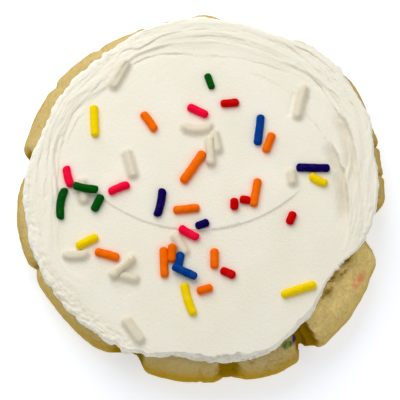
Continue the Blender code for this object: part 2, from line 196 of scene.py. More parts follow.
SPRINKLES = tables(Sprinkle, {
    "pink": ((-31.8, 2.0, 5.5, -75, -0.34), (-19.6, -1.0, 5.5, 23, 0.2),
        (-2.8, -12.1, 5.4, -29, -0.15, 0.2), (-0.7, 18.5, 5.5, -26)),
    "green": ((-33.3, -4.7, 7.9, 83, 0.58), (-27.6, -1.1, 6.3, -11, -0.24, 1.1),
        (-24.7, -4.6, 4.5, 63), (2.2, 26.1, 4.2, -71, 0, 0, 0, 0.86)),
    "yellow": ((-27.1, -14.1, 5.8, 27), (-2.9, -28.2, 8.2, -73, -0.29),
        (28.3, 1.2, 4.7, -28, -0.31), (23.3, -25.8, 8.7, 18), (-25.7, 16.0, 8.0, -87)),
    "orange": ((-22.3, -17.3, 6.1, -16), (-3.4, -6.2, 6.4, 6), (-8.7, -19.2, 7.5, -88),
        (-6.8, -17.0, 4.6, 90, 0, 0, 0.8), (3.3, -18.3, 5.0, 89), (1.0, -25.8, 3.9, 16),
        (-12.5, 15.8, 5.7, -55, 0.17), (-1.8, 4.3, 9.4, 56, 0, 0, 0, 1.1), (16.5, 10.5, 5.3, 69),
        (13.2, -2.1, 7.2, 80)),
    "blue": ((-5.0, -18.7, 4.2, 80), (-3.8, -21.7, 6.5, -25, 0, 0.9), (14.2, 13.7, 7.8, 83)),
    "purple": ((-9.7, -4.6, 7.2, 79, -0.36), (0.4, -10.0, 3.5, 20), (27.1, 4.2, 8.2, -1)),
    "red": ((6.5, -21.8, 3.9, -24), (7.1, 20.5, 4.6, 5), (10.7, -3.9, 2.8, -8),
        (8.1, -5.0, 3.0, 90, 0, 0, 0.8), (21.7, -8.3, 3.4, 68)),
    "white": ((-28.3, -1.6, 6.2, -82), (-17.0, 5.2, 7.3, -75),
        (-29.8, -17.4, 5.9, 2, -0.29, -0.3), (-18.6, -20.3, 7.2, 42, 0, 0.7),
        (-17.1, -22.8, 4.8, -15), (-4.9, -14.7, 6.1, -59), (-0.9, 14.2, 7.5, 0, -0.9),
        (2.3, 8.4, 7.3, -88, 0, 0.5), (3.7, 10.7, 5.7, -78), (24.3, 20.8, 8.6, 77),
        (22.0, 1.8, 4.0, -83), (-19.7, 27.8, 7.6, 62, 0, -0.4, 0, 1.15),
        (-15.9, -35.7, 7.0, -54, 0, -0.4, 0, 1.15)),
})

BAKED_IN = tables(BakedIn, {
    "pink": ((330, 12.5, 5.6, -10, 0.75), (21, 5.5, 5.0, 15)),
    "green": ((298.4, 14.35, 3.2, 5), (251, 10.0, 3.6, 60)),
    "yellow": ((152, 5.5, 6.0, -10),),
    "orange": ((116, 4.5, 5.0, 30),),
    "blue": ((74, 6.0, 6.0, -20),),
    "purple": ((300.6, 13.9, 2.6, 0, 2.2),),
    "red": ((52, 5.0, 5.0, 30),),
})

# A mark of the knife in the icing: azimuth and radius of points along it, how far the icing rises
# outside it and dips inside it, the cleft between them, over which distance the rise fades, the
# width of the step, the reach of the dip, and over which angles the mark begins and ends
Mark = namedtuple(
    "Mark",
    "route rise dip cleft fade width reach begins ends",
    defaults=(0.1, 0.15, 1.6, 0.25, 0.8, 2.2, 2.2),
)

MARKS = table(
    Mark,
    ((76, 40, 83, 39.5, 90, 39.6, 98, 39.3, 105, 38.7, 112, 37.7), 0.12, 0.07, 0.22),
    ((106, 38.5, 111, 37.8, 114, 37.4, 116, 38.3, 119, 38.8, 124, 37.6), 0.12, 0.09, 0.3),
    ((72, 38.4, 83, 38.1, 90, 37.7, 100, 37.6, 104, 37.6), 0.08, 0.05),
    ((66, 37.6, 77, 37.4, 83, 36.9, 90, 36.2, 98, 36.3, 108, 36.7), 0.03, 0.06, 0.0, 1.6, 0.8, 2.0),
    ((46, 36.9, 51, 36.4, 59, 34.7, 69, 33.8, 79, 33.2, 90, 32.6, 99, 33.8), 0.05, 0.05, 0.15, 1.6, 0.4),
    ((96, 33.4, 102, 34.1, 106, 34.6, 112, 34.9, 120, 34.7), 0.12, 0.09, 0.26),
    ((129, 33.7, 137, 33.9, 142, 33.9, 145, 33.6, 147, 33.4, 150, 34, 163, 33.9), 0.08, 0.05),
    ((128, 34.9, 133, 35.5, 144, 35.2, 149, 35.8, 159, 35.3, 168, 34.6), 0.08, 0.07, 0.19),
    ((140, 36.9, 152, 37.1, 168, 36.2, 184, 35.4), 0.04, 0.05),
    ((161, 35.2, 172, 34.6, 178, 34.5, 184, 34.7, 190, 35.3, 196, 35.9, 208, 37.6), 0.06, 0.05),
    ((145, 38.1, 154, 38.5, 161, 38.3, 168, 37.7, 174, 37, 182, 37.6, 192, 38), 0.06, 0.07),
    ((140, 39.4, 158, 39.6, 167, 39.3, 180, 39.5, 202, 40.1), 0.06, 0.07),
    ((130, 37.8, 133, 37.7, 137, 38.2, 141, 38), 0.1, 0.05, 0.3),
    ((168, 41.3, 184, 41.2, 200, 41.7), 0.04, 0.05),
    ((38, 40.9, 42, 41.1, 47, 40.6, 51, 40.8, 60, 41, 67, 40.3), 0.08, 0.09, 0.5, 1.2),
    ((25, 38.5, 29, 37.9, 35, 38, 40, 38.3, 47, 38.5, 53, 39.1), 0.15, 0.3, 0.35, 1.6, 0.4, 1.6),
    ((23, 40.8, 28, 39.7, 33, 40, 39, 39.5), 0.08, 0.06, 0.45, 0.9),
    ((40, 43.4, 46, 43.1, 49, 42.9, 52, 42.7, 58, 42), 0.06, 0.05, 0.4, 0.9),
    ((41, 41.5, 47, 41.7), 0.05, 0.05, 0.5, 0.8),
    ((39, 42.5, 45, 42.5), 0.05, 0.05, 0.4, 0.8),
    ((37, 42.7, 41.5, 41.6), 0.05, 0.05, 0.4, 0.8),
    ((27, 42.2, 31, 41.9), 0.06, 0.14, 0.38, 0.8),
    ((-5, 37.3, 2, 37.6, 7, 38, 12, 38.3, 15, 38.3, 19, 38.7, 24, 38.8, 30, 38.4),
     0.35, 1.0, 0.15, 1.6, 0.35, 2.4, 14.0, 7.0),
    ((-19, 36.8, -12, 36.3, -6, 35.7, -2, 35.4, 2, 34.9, 6, 35, 8, 34.3, 13, 34, 20, 33.4),
     0.35, 1.0, 0.15, 1.6, 0.35, 2.4, 12.0, 7.0),
    ((46, 31.9, 57, 31.4, 68, 30.7), 0.05, 0.02),
    ((10, 34.2, 14, 33, 18, 32.6, 22, 32.3, 28, 31.8, 32, 31.4, 42, 31.2), 0.06, 0.05),
    ((203, 42.1, 205, 41.9, 210, 41.9, 216, 41.6, 221, 41.9), 0.06, 0.11, 0.22),
    ((215, 43.5, 217, 43.5, 222, 43.2, 225, 43.4), 0.08, 0.16, 0.45),
    ((220, 44.2, 223, 44.2, 229, 44, 233, 43.2), 0.08, 0.16, 0.45),
    ((216, 40, 219, 40, 226, 41, 231, 42), 0.05, 0.07),
    ((231, 41.5, 234, 41.4, 239, 41.3, 244, 41.8), 0.05, 0.07),
    ((242, 43.2, 244, 43.1, 247, 42.7, 250, 43.1, 253, 43.4), 0.08, 0.09, 0.3),
    ((281, 8, 286, 8.4, 297, 9.2, 304, 10.4, 316, 13.8), 0.03, 0.02, 0.09),
)

# Marks that dip more than this are deep, and the icing in their troughs gets a painted shade
DEEP_MARK_DIP = 0.6
TROUGH_SHADE_PATCHES = Noise(0.6, 3.0, 1, 35)
# The width of a mark's cleft, its depth as a share, how a mark wanders off its points, and where
# it is strong
CLEFT_WIDTH = 0.14
CLEFT_DEPTH = 0.55
MARK_WANDER = Noise(0.3, 2.6, 4, 21)
MARK_STRENGTH = Streaks(1.0, 3.0, 7.0, 26)

# Icing that the knife tore at the rim: the middle and reach of the stretch, how far in it
# begins, how deep it is, and how gritty
Tear = namedtuple("Tear", "azimuth reach radius depth grit")

TEARS = table(
    Tear, (44, 24, 40.3, 0.12, 0.06), (212, 28, 40.6, 0.2, 0.32), (236, 26, 40.8, 0.22, 0.36),
    (124, 36, 38.8, 0.22, 0.16), (345, 20, 39.6, 0.12, 0.2), (182, 26, 40.6, 0.25, 0.35),
)
TEAR_LINES = Streaks(1.0, 0.5, 4.5, 24)
TEAR_ENDS = Noise(0.3, 1.1, 2, 25)
TEAR_GROWTH = 1.5
GRIT = Noise(1.0, 1.2, 3, 36)

# Where the band's inner step is smeared soft: between which azimuths it begins and ends, and
# how far it is smeared
Blur = namedtuple("Blur", "begins ends reach")

BLURS = table(
    Blur, ((52, 60), (99, 107), 2.2), ((118, 126), (150, 176), 0.9), ((180, 196), (226, 236), 1.8),
)

# A small dent or nick in the icing: place of its middle, length, heading, width and depth
Dent = namedtuple("Dent", "x y length heading width depth")

DENTS = table(
    Dent, (22.2, 20.4, 5.0, 77, 1.0, 0.35), (25.9, 21.2, 1.4, 60, 0.9, 0.3),
    (-11.7, 27.5, 0.8, 30, 0.3, 0.2), (5.7, 30.6, 1.2, 2, 0.3, 0.15),
    (-38.2, -12.8, 1.2, -50, 0.3, 0.3), (-17.2, -26.4, 0.9, -35, 0.35, 0.15),
    (-19.7, -29.7, 0.2, 0, 0.4, 0.15),
)

# The clean-cut wall along the icing's front edge: between which azimuths it begins and ends, how
# far it leans out, and how far that wanders
WALL_BEGINS = (246, 258)
WALL_ENDS = (313, 325)
WALL_LEAN = 0.35
WALL_LEANS_MORE = table(Swell, (279, 20, 1.0), (309, 15, 0.5))
WALL_WANDER = Noise(1.0, 3.5, 4, 34)
LEAST_LEAN = 0.3
# Past these azimuths the wall runs more evenly, by this share
EVEN_WALL_BEGINS = (288, 300)
EVEN_WALL_SHARE = 0.65
# The wall's layers and flakes, and how far they stand back where they get a painted shade
WALL_LAYER = 0.4
WALL_LAYERS = Noise(1.0, 1.0, 1, 32)
WALL_SWAY = Noise(0.8, 7.0, 1, 31)
WALL_FLAKES = Noise(0.5, 1.1, 2, 33)
WALL_CLEFT_SHADE = (0.06, 0.32)
WALL_TOE_LEVEL = 0.25
WALL_TOE_INSET = 0.5
WALL_ROWS = 18
# The radii of the rows of vertices under the icing
UNDER_RADII = (41.2, 40.0, 38.6, 36.7, 20.0)

# The lip is softly rounded between these azimuths, and sharper elsewhere
SOFT_BEGINS = (55, 75)
SOFT_ENDS = (188, 206)
ROUND_LIP = 1.5
SHARP_LIP = 0.6
ROUND_LIP_DROP = 0.28
SHARP_LIP_DROP = 0.14
ROUND_LIP_POWER = 2.8

# The ragged edge, calmer round one azimuth and with teeth round another
RAGGED_DEPTH = 0.7
CALM_DEPTH = 0.3
RAGS = Noise(1.0, 3.0, 4, 0)
CALM = (351, 12)
TOOTHED = (328.5, 4.5)
TEETH = Noise(1.8, 0.8, 1, 37)

# The fine relief that the knife left along the band, and broad swirls all over
FINE_STREAKS = Streaks(0.14, 0.6, 9.0, 22)
LAYER_DEPTH = 0.12
LAYER_PITCH = 1.5
LAYER_SWAY = Streaks(1.6, 3.0, 20.0, 27)
LAYER_PATCHES = Streaks(1.0, 4.0, 14.0, 28)
CREASE_DEPTH = 0.14
CREASE_SHARE = 0.06
CREASES = Streaks(1.0, 2.0, 12.0, 29)
CREASE_PATCHES = Streaks(1.0, 3.0, 6.0, 30)
SWIRLS = Noise(0.12, 9.0, 1, 23)

# How the icing dips beside the coloured sprinkles
DIMPLE_DEPTH = 0.08
DIMPLE_REACH = 0.55

# The icing coats the white sprinkles: how high it rises over them, from which share of their
# radius it falls away and how far, and how much deeper they lie
COAT_HEIGHT = 1.28
COAT_BACK = 0.5
COAT_REACH = 0.64
COAT_SINK = 0.45

# More unevenness of the rim than the solid has
RIM_SWELLS = table(Swell, (31, 9, 0.3), (104, 8, -0.35), (84, 8, -0.3), (299, 9, -0.35))

# Where the rim overhangs, so that its wall doesn't show from above
OVERHANGS = table(Swell, (224, 32, 1.1), (335, 20, 1.0), (160, 60, 0.4), (252, 14, 0.5))

# How far apart the icing's rings of vertices stand, from the rim inwards: (reach, spacing)
RING_SPACING = ((1.2, 0.09), (10.0, 0.19), (ICING_RADIUS, 0.46))

# The cookie's rows and columns of vertices: the columns stand closer together by the splits
COOKIE_COLUMNS = 1120
COLUMN_PULL = 2.0
COLUMN_SPREAD = 4.0
SHOULDER_ROWS = 40
UNDERCUT_ROWS = 24
COVERED_ROWS = (20.0, 32.0, 35.0, 36.5, 37.6, 38.5, 39.3)
FOOT_ROWS = (39.5, 36.0)

# The rough surface of the dough: jagged splits, lumps, crumb, fine cracks and pores
JAGS = Noise(0.9, 2.2, 3, 3)
LUMPS = Noise(0.32, 6.0, 3, 0)
CRUMB = Noise(0.1, 1.5, 3, 5)
CRACKS = Noise(1.0, 5.0, 3, 9)
CRACK_PATCHES = Noise(1.0, 12.0, 1, 12)
CRACK_WIDTH = 0.05
CRACK_DEPTH = 0.2
PORES = Noise(1.0, 1.2, 1, 13)
PORE_DEPTH = 0.12

# A crevice in the broken shoulder, in painted shade: azimuth and radius of its points, width and depth
Crevice = namedtuple("Crevice", "route width depth")

CREVICES = table(
    Crevice,
    ((336.5, 40, 334.4, 38.9, 332.7, 38.5, 330.5, 37.6), 0.45, 0.4),
    ((329.6, 40.3, 328.4, 39.9, 326.5, 39, 323.5, 38.3), 0.6, 0.6),
    ((323, 40.2, 321.4, 39.9, 320, 39.6, 317.5, 39.4), 0.55, 0.5),
)
CREVICE_JAGS = Noise(1.2, 1.6, 3, 15)

# Stretches of the side, each with its middle and its reach: the dough is paler along the rear, a
# painted light, more toasted along the front, a painted shade, and a paler buff at the left. One
# split gets less painted shade and less toasting, and in the broken shoulder a painted shade lies
# right under the icing's edge in one place and a painted light in another
REAR = (140, 60)
FRONT = (272, 45)
BUFF = (208, 45)
PALE_SPLIT = (348, 16)
UNDER_ICING_SHADE = (328, 15)
PAINTED_LIGHT_SPOT = (340, 10)
UNDER_ICING_SHADE_JAGS = Noise(1.0, 1.6, 3, 38)
# How strongly three of them count
BUFF_SHARE = 0.34
PALE_SHARE = 0.9
UNDER_ICING_SHADE_SHARE = 0.5
# The floury colour of the broken dough, partly a painted light, fades out between these
# azimuths and is spotted; it and the buff grow between these heights
FRESH_ENDS = (346, 354)
FLOUR_SPOTS = Noise(1.0, 3.6, 3, 19)
FLOUR_HEIGHTS = (6.0, 12.0)
BUFF_HEIGHTS = (1.0, 6.0)
# How toasted the side is, what its stretches add to that (a painted shade along the front and a
# painted light along the rear), and how it fades with the height
TOAST_SHARE = 0.8
BROKEN_TOAST = -0.38
REAR_PAINTED_LIGHT = -0.3
FRONT_PAINTED_SHADE = 0.22
TOAST_TOP = (8.5, 14.8)
TOAST_FOOT = (2.0, 8.0)
FOOT_TOAST = 0.65
# The pits of the broken shoulder are this share of the solid's
PIT_SHARE = 0.5
# How far the colour of a baked-in sprinkle fades into the dough, its patches, and where it ends
BAKED_FADE = 0.28
BAKED_PATCHES = Noise(0.9, 1.2, 3, 17)
BAKED_STAIN = (0.6, 1.5)

SPRINKLE_SIDES = 20
SPRINKLE_ROWS = 26
SPRINKLE_TIP = 0.85
SPRINKLE_TIP_POWER = 2.2
SPRINKLE_LUMPS = Noise(0.1, 1.6, 3, 0)

# Colours as seen (sRGB)
COOKIE_COLOUR = (0.82, 0.73, 0.49)
COOKIE_PALE = (0.85, 0.77, 0.56)
COOKIE_FLOURY = (1.0, 0.90, 0.60)
COOKIE_TOASTED = (0.735, 0.58, 0.12)
COOKIE_DOTS = (0.64, 0.50, 0.16)
CREVICE_SHADE_COLOUR = (0.59, 0.45, 0.0)
ICING_COLOUR = (0.965, 0.95, 0.895)
ICING_SHADE = (0.95, 0.935, 0.87)
SPRINKLE_COLOURS = {
    "pink": (1.00, 0.04, 0.25),
    "green": (0.00, 0.32, 0.04),
    "yellow": (1.00, 0.865, 0.00),
    "orange": (1.00, 0.44, 0.00),
    "blue": (0.00, 0.24, 0.58),
    "purple": (0.05, 0.00, 0.33),
    "red": (0.82, 0.00, 0.00),
    "white": (0.925, 0.885, 0.80),
}
# The icing's tint round each sprinkle: colour bleed round the bright ones, a painted contact shade round
# the dark ones, and the colour of the coat over the white ones
BLEED_AND_SHADE_COLOURS = {
    "pink": (0.98, 0.70, 0.70),
    "green": (0.82, 0.84, 0.76),
    "yellow": (0.98, 0.92, 0.68),
    "orange": (1.00, 0.74, 0.62),
    "blue": (0.80, 0.83, 0.84),
    "purple": (0.84, 0.82, 0.84),
    "red": (0.97, 0.76, 0.72),
    "white": (0.897, 0.862, 0.777),
}
# The bleed and the painted contact shade begin at this share of a sprinkle's radius
BLEED_BACK = 0.85
BLEED_REACH = 0.8
BLEED_SHARE = 0.42
COATED_SHARE = 0.95
# Painted shade in the deep marks' troughs, along the knife lines and in the wall's layers
TROUGH_SHADE_COLOUR = (0.875, 0.84, 0.765)
LINE_SHADE_COLOUR = (0.79, 0.72, 0.61)
LINE_WIDTH = 0.15
LINE_SHARE = 1.9
CLEFT_SHADE_COLOUR = (0.90, 0.86, 0.77)

FLOOR_REACH = 900.0
FLOOR_GAP = 0.02
FLOOR_COLOUR = (0.7, 0.76, 0.87, 1.0)
FLOOR_GLOW = 0.5
SKY_COLOUR = (1.0, 0.995, 0.98, 1.0)
SKY_STRENGTH = 0.425

# A lamp: its name, where it hangs, its width, its power in watts and its colour
Lamp = namedtuple("Lamp", "name place width power colour")

LAMPS = table(
    Lamp,
    ("key", (-110, 225, 300), 420, 1.13, (1.0, 0.99, 0.97)),
    ("fill", (340, -240, 400), 500, 0.26, (1.0, 0.985, 0.96)),
)
LAMP_TARGET = Vector((0, 0, 10))

CAMERA_TARGET = Vector((-0.136, -3.832, 19.0))
CAMERA_ELEVATION = 75.0
CAMERA_DISTANCE = 540.0
CAMERA_LENS = 202.5
CAMERA_SENSOR = 36.0


# Numbers and shapes

def smooth(value, low, high):
    """0 below low, 1 above high, and an S between them."""
    share = np.clip((value - low) / (high - low), 0.0, 1.0)
    return share * share * (3 - 2 * share)


def turn_between(azimuth, other):
    """The signed angle from one azimuth to another, from -180 to 180 degrees."""
    return (other - azimuth + 180) % 360 - 180


def bump(away, reach):
    """A raised cosine: 1 in the middle and 0 from reach on."""
    return (1 + np.cos(np.pi * np.clip(np.abs(away) / reach, 0, 1))) / 2


def bell(away, reach):
    """A bell curve: 1 in the middle and about a third at the reach."""
    return np.exp(-((away / reach) ** 2))


def stretch(value, begins, ends):
    """1 between two bounds: an S up over the first and an S down over the second."""
    return smooth(value, *begins) * (1 - smooth(value, *ends))


def beside(azimuth, middle, reach):
    """1 at the middle azimuth, and 0 from the reach on to both sides."""
    return bump(turn_between(middle, azimuth), reach)


def swelling(azimuth, swells):
    return sum(s.height * beside(azimuth, s.azimuth, s.reach) for s in swells)


def at(radius, azimuth, height):
    angle = np.radians(azimuth)
    return np.stack(
        np.broadcast_arrays(radius * np.cos(angle), radius * np.sin(angle), height), axis=-1
    )


def polar(x, y):
    """The radius and the azimuth of places."""
    return np.hypot(x, y), np.degrees(np.arctan2(y, x)) % 360


def points_of(route):
    """The azimuths and the radii of the points of a route."""
    return np.array(route, float).reshape(-1, 2).T


def flat(x, y):
    """Places at no height."""
    return np.stack((x, y, np.zeros_like(x)), axis=-1)


def flat_lie(shape):
    """The middle, the direction and the left side of a sprinkle or a dent, seen from above."""
    heading = math.radians(shape.heading)
    ahead = np.array((math.cos(heading), math.sin(heading), 0))
    return np.array((shape.x, shape.y, 0)), ahead, np.array((-ahead[1], ahead[0], 0))


DRAWS = np.random.default_rng(20)
SHUFFLED = DRAWS.permutation(256)
GRADIENTS = DRAWS.normal(size=(256, 3))
GRADIENTS /= np.linalg.norm(GRADIENTS, axis=1, keepdims=True)


def grain(points, size, seed):
    """Gradient noise, mostly from -0.5 to 0.5, with lumps about size across."""
    cell = points / size + 31.7 * seed
    corner = np.floor(cell).astype(int)
    within = cell - corner
    fade = within ** 3 * (within * (within * 6 - 15) + 10)
    total = 0.0
    for step in itertools.product((0, 1), repeat=3):
        x, y, z = np.moveaxis(corner + step, -1, 0)
        drawn = SHUFFLED[(SHUFFLED[(SHUFFLED[x & 255] + y) & 255] + z) & 255]
        share = np.prod(np.where(step, fade, 1 - fade), axis=-1)
        total = total + share * np.sum(GRADIENTS[drawn] * (within - step), axis=-1)
    return total


def rough(points, noise):
    """Layers of noise, each half as large and half as strong as the last."""
    layers = range(noise.layers)
    return noise.strength * sum(
        grain(points, noise.size / 2 ** k, noise.seed + k) / 2 ** k for k in layers
    )


def streaky(radius, azimuth, streaks):
    """Noise that is drawn out along the rim."""
    turn = np.radians(azimuth)
    drawn = ICING_RADIUS / streaks.along
    around = (drawn * np.cos(turn), drawn * np.sin(turn))
    points = np.stack((radius / streaks.across, *around), axis=-1)
    return streaks.strength * grain(points, 1.0, streaks.seed)


# The cookie's form, as its solid has it but for the trims of its rim and the finished splits

def cookie_edge(azimuth):
    return COOKIE_RADIUS + swelling(azimuth, COOKIE_SWELLS + COOKIE_TRIMS)


def crown_height(radius):
    return COOKIE_HEIGHT - COOKIE_DOME * (radius / COOKIE_RADIUS) ** 2


def cookie_brow(azimuth):
    """The radius where the flat top ends and the shoulder begins."""
    broken = stretch(azimuth, BREAK_OPENS, BREAK_CLOSES)
    width = SHOULDER_WIDTH + (BROKEN_SHOULDER_WIDTH - SHOULDER_WIDTH) * broken
    return cookie_edge(azimuth) - width


def cookie_top(radius, azimuth):
    """The height of the top and the shoulder, before the splits and pits are sunk."""
    edge = cookie_edge(azimuth)
    brow = cookie_brow(azimuth)
    share = np.clip((radius - brow) / (edge - brow), 0.0, 1.0)
    return WIDEST_HEIGHT + (crown_height(radius) - WIDEST_HEIGHT) * np.sqrt(1 - share * share)


def split_share(split, azimuth):
    away = turn_between(split.azimuth, azimuth)
    reach = np.where(away > 0, split.on, split.back)
    share = np.clip((1 - np.abs(away) / reach) * split.steep, 0.0, 1.0)
    return share * share * (2 - share)


def split_depth(azimuth, height):
    depths = [
        split_share(split, azimuth) * (split.foot + (split.top - split.foot) * height / COOKIE_HEIGHT)
        for split in FINISHED_SPLITS
    ]
    return np.max(depths, axis=0)


def pit_depth(place):
    total = 0.0
    for pit in COOKIE_PITS:
        middle = at(pit.radius, pit.azimuth, 0)[:2]
        total = total + pit.depth * bump(np.linalg.norm(place[..., :2] - middle, axis=-1), pit.reach)
    return total


# The icing's form, as its solid has it but for the ridges, which are worn

def icing_edge(azimuth):
    return ICING_RADIUS + swelling(azimuth, ICING_SWELLS)


def band_foot(azimuth):
    """The inner edge of the raised band that the knife left round the rim."""
    return BAND_FOOT + swelling(azimuth, BAND_SWELLS)


def band_share(azimuth):
    """1 where the raised band stands in full, 0 along the smooth front edge."""
    return 1 - smooth(azimuth, *BAND_ENDS) + smooth(azimuth, *BAND_BEGINS)


def icing_floor(radius, azimuth):
    return np.maximum(cookie_top(radius, azimuth), COOKIE_HEIGHT - ICING_DRAPE) + CLEARANCE


def stroke_distance(x, y):
    """How far inside the arc of the last stroke a place lies."""
    return STROKE_RADIUS - np.hypot(x - STROKE_MIDDLE[0], y - STROKE_MIDDLE[1])


def stroke_relief(x, y):
    """A crisp step up into the arc, which fades out behind it and at both ends."""
    inside = stroke_distance(x, y)
    lean = np.degrees(np.arctan2(x - STROKE_MIDDLE[0], STROKE_MIDDLE[1] - y))
    step = smooth(inside, -STROKE_STEP, STROKE_STEP) * (1 - smooth(inside, 0, STROKE_FADE))
    return STROKE_RISE * step * (1 - smooth(np.abs(lean), *STROKE_ENDS))


def icing_top(x, y):
    radius, azimuth = polar(x, y)
    foot = band_foot(azimuth)
    band = band_share(azimuth) * smooth(radius, foot, foot + BAND_STEP_WIDTH)
    ridges = RIDGE_WEAR * RIDGE_DEPTH * np.cos(2 * np.pi * (radius - foot) / RIDGE_PITCH)
    body = crown_height(radius) + CLEARANCE + ICING_THICKNESS
    return body + band * (BAND_RISE + ridges) + stroke_relief(x, y)


# Meshes and materials

def mesh_object(name, points, faces):
    mesh = bpy.data.meshes.new(name)
    mesh.from_pydata((points * MM).tolist(), [], faces)
    mesh.update()
    mesh.shade_smooth()
    piece = bpy.data.objects.new(name, mesh)
    bpy.context.scene.collection.objects.link(piece)
    return piece


def within_solids(points):
    low, high = (np.array(corner) / MM for corner in CAD_BOX)
    return np.clip(points, low, high)


def skin_faces(loops, last, first=None):
    """Quads between closed loops of vertex numbers, and a fan from the last loop to a point, and
    from the first one if a point is given for it."""
    after = np.roll(loops, -1, axis=1)
    quads = np.stack((loops[:-1], loops[1:], after[1:], after[:-1]), axis=-1)
    faces = quads.reshape(-1, 4).tolist()
    if first is not None:
        faces += np.stack((np.full_like(loops[0], first), loops[0], after[0]), axis=-1).tolist()
    return faces + np.stack((np.full_like(loops[0], last), after[-1], loops[-1]), axis=-1).tolist()


def paint(piece, name, values):
    kind = "FLOAT" if values.ndim == 1 else "FLOAT_COLOR"
    field = "value" if values.ndim == 1 else "color"
    layer = piece.data.attributes.new(name, kind, "POINT")
    layer.data.foreach_set(field, values.astype(np.float32).ravel())


def linear(colour):
    """An sRGB colour as the linear values that a shader takes."""
    shades = np.asarray(colour, float)
    return np.where(shades <= 0.04045, shades / 12.92, ((shades + 0.055) / 1.055) ** 2.4)


def rgba(colour):
    return (*linear(colour).tolist(), 1.0)


class Shading:
    """A Principled material and short ways to add the nodes that feed it."""

    def __init__(self, name, roughness, specular, glow=0.0, glow_reach=1.0):
        self.material = bpy.data.materials.new(name)
        self.material.use_nodes = True
        self.tree = self.material.node_tree
        self.shader = self.tree.nodes["Principled BSDF"]
        self.set("Roughness", roughness)
        self.set("Specular IOR Level", specular)
        self.set("Subsurface Weight", glow)
        self.set("Subsurface Scale", glow_reach * MM)
        self.set("Subsurface Radius", (1.0, 0.8, 0.5))
        self.place = self.tree.nodes.new("ShaderNodeTexCoord").outputs["Object"]

    def set(self, socket, value):
        self.shader.inputs[socket].default_value = value

    def link(self, source, target):
        self.tree.links.new(source, target)

    def node(self, kind, inputs, **settings):
        """Adds a node whose inputs are sockets, colours or numbers, and gives its outputs."""
        node = self.tree.nodes.new("ShaderNode" + kind)
        for name, value in settings.items():
            setattr(node, name, value)
        for name, value in inputs.items():
            if isinstance(value, bpy.types.NodeSocket):
                self.link(value, node.inputs[name])
            else:
                node.inputs[name].default_value = rgba(value) if isinstance(value, tuple) else value
        return node.outputs

    def noise(self, size, detail=3.0, low=0.35, high=0.65):
        """Noise with lumps about size mm across, stretched to run from 0 to 1."""
        lumps = {"Scale": 1 / (size * MM), "Detail": detail, "Vector": self.place}
        noise = self.node("TexNoise", lumps)["Fac"]
        return self.node("MapRange", {"From Min": low, "From Max": high, "Value": noise})["Result"]

    def layer(self, name, output="Fac"):
        return self.node("Attribute", {}, attribute_name=name)[output]

    def times(self, value, factor):
        return self.node("Math", {0: value, 1: factor}, operation="MULTIPLY")[0]

    def mix(self, share, first, second):
        """A colour between two, each a colour or a socket."""
        return self.node("Mix", {"Factor": share, 6: first, 7: second}, data_type="RGBA")[2]

    def bump(self, height, depth):
        bump = self.node("Bump", {"Strength": 1.0, "Distance": depth * MM, "Height": height})
        self.link(bump["Normal"], self.shader.inputs["Normal"])

    def stained(self, tone):
        return self.mix(self.layer("stain"), tone, self.layer("stain_colour", "Color"))

    def colour(self, socket):
        self.link(socket, self.shader.inputs["Base Color"])
        return self.material


def cookie_material():
    shading = Shading("baked_dough", roughness=0.85, specular=0.0, glow=0.1, glow_reach=0.8)
    crust = shading.mix(shading.noise(6.0, 4), COOKIE_COLOUR, COOKIE_PALE)
    # Floury colour with painted light, and toasting with painted shade and light
    tone = shading.mix(shading.layer("flour_and_light"), crust, COOKIE_FLOURY)
    toasted = shading.mix(shading.layer("toast_shade_and_light"), tone, COOKIE_TOASTED)
    speckled = shading.mix(shading.times(shading.noise(0.7, 3), 0.3), toasted, COOKIE_TOASTED)
    dots = shading.times(shading.noise(0.9, 2, 0.58, 0.75), 0.25)
    dotted = shading.mix(dots, speckled, COOKIE_DOTS)
    # Painted shade in the crevices, splits, pits and cracks
    deep = shading.mix(shading.layer("crevice"), dotted, CREVICE_SHADE_COLOUR)
    shading.bump(shading.noise(0.45, 4), 0.08)
    return shading.colour(shading.stained(deep))


def icing_material():
    shading = Shading("spread_buttercream", roughness=0.55, specular=0.2, glow=0.15, glow_reach=0.7)
    tone = shading.mix(shading.noise(11.0, 3), ICING_COLOUR, ICING_SHADE)
    shading.bump(shading.noise(0.6, 4), 0.035)
    # The stain layer holds colour bleed and painted shade
    return shading.colour(shading.stained(tone))


def sprinkle_material(name, colour):
    pale = name == "white"
    glow, reach = (1.0, 2.0) if pale else (0.1, 0.3)
    shading = Shading("sugar_" + name, 0.4, 0.02, glow, reach)
    shade = tuple(0.96 * channel for channel in colour)
    # Lighter streaks laid by noise: a painted sheen
    light = tuple(channel + 0.16 * (1 - channel) for channel in colour)
    tone = shading.mix(shading.noise(1.1, 4), colour, shade)
    sheen_streaked = shading.mix(shading.times(shading.noise(1.8, 3, 0.5, 0.75), 0.4), tone, light)
    shading.bump(shading.noise(0.25, 3), 0.02)
    return shading.colour(sheen_streaked)


# The cookie's surface

def cookie_azimuths():
    """The azimuths of the columns, which stand closer together by the splits."""
    azimuths = np.linspace(0, 360, 3601)
    density = np.ones_like(azimuths)
    for split in COOKIE_SPLITS:
        density += COLUMN_PULL * bell(turn_between(split.azimuth, azimuths), COLUMN_SPREAD)
    walk = np.cumsum(density) - density[0]
    even = np.arange(COOKIE_COLUMNS) * 360 / COOKIE_COLUMNS
    return np.interp(even, walk * 360 / walk[-1], azimuths)


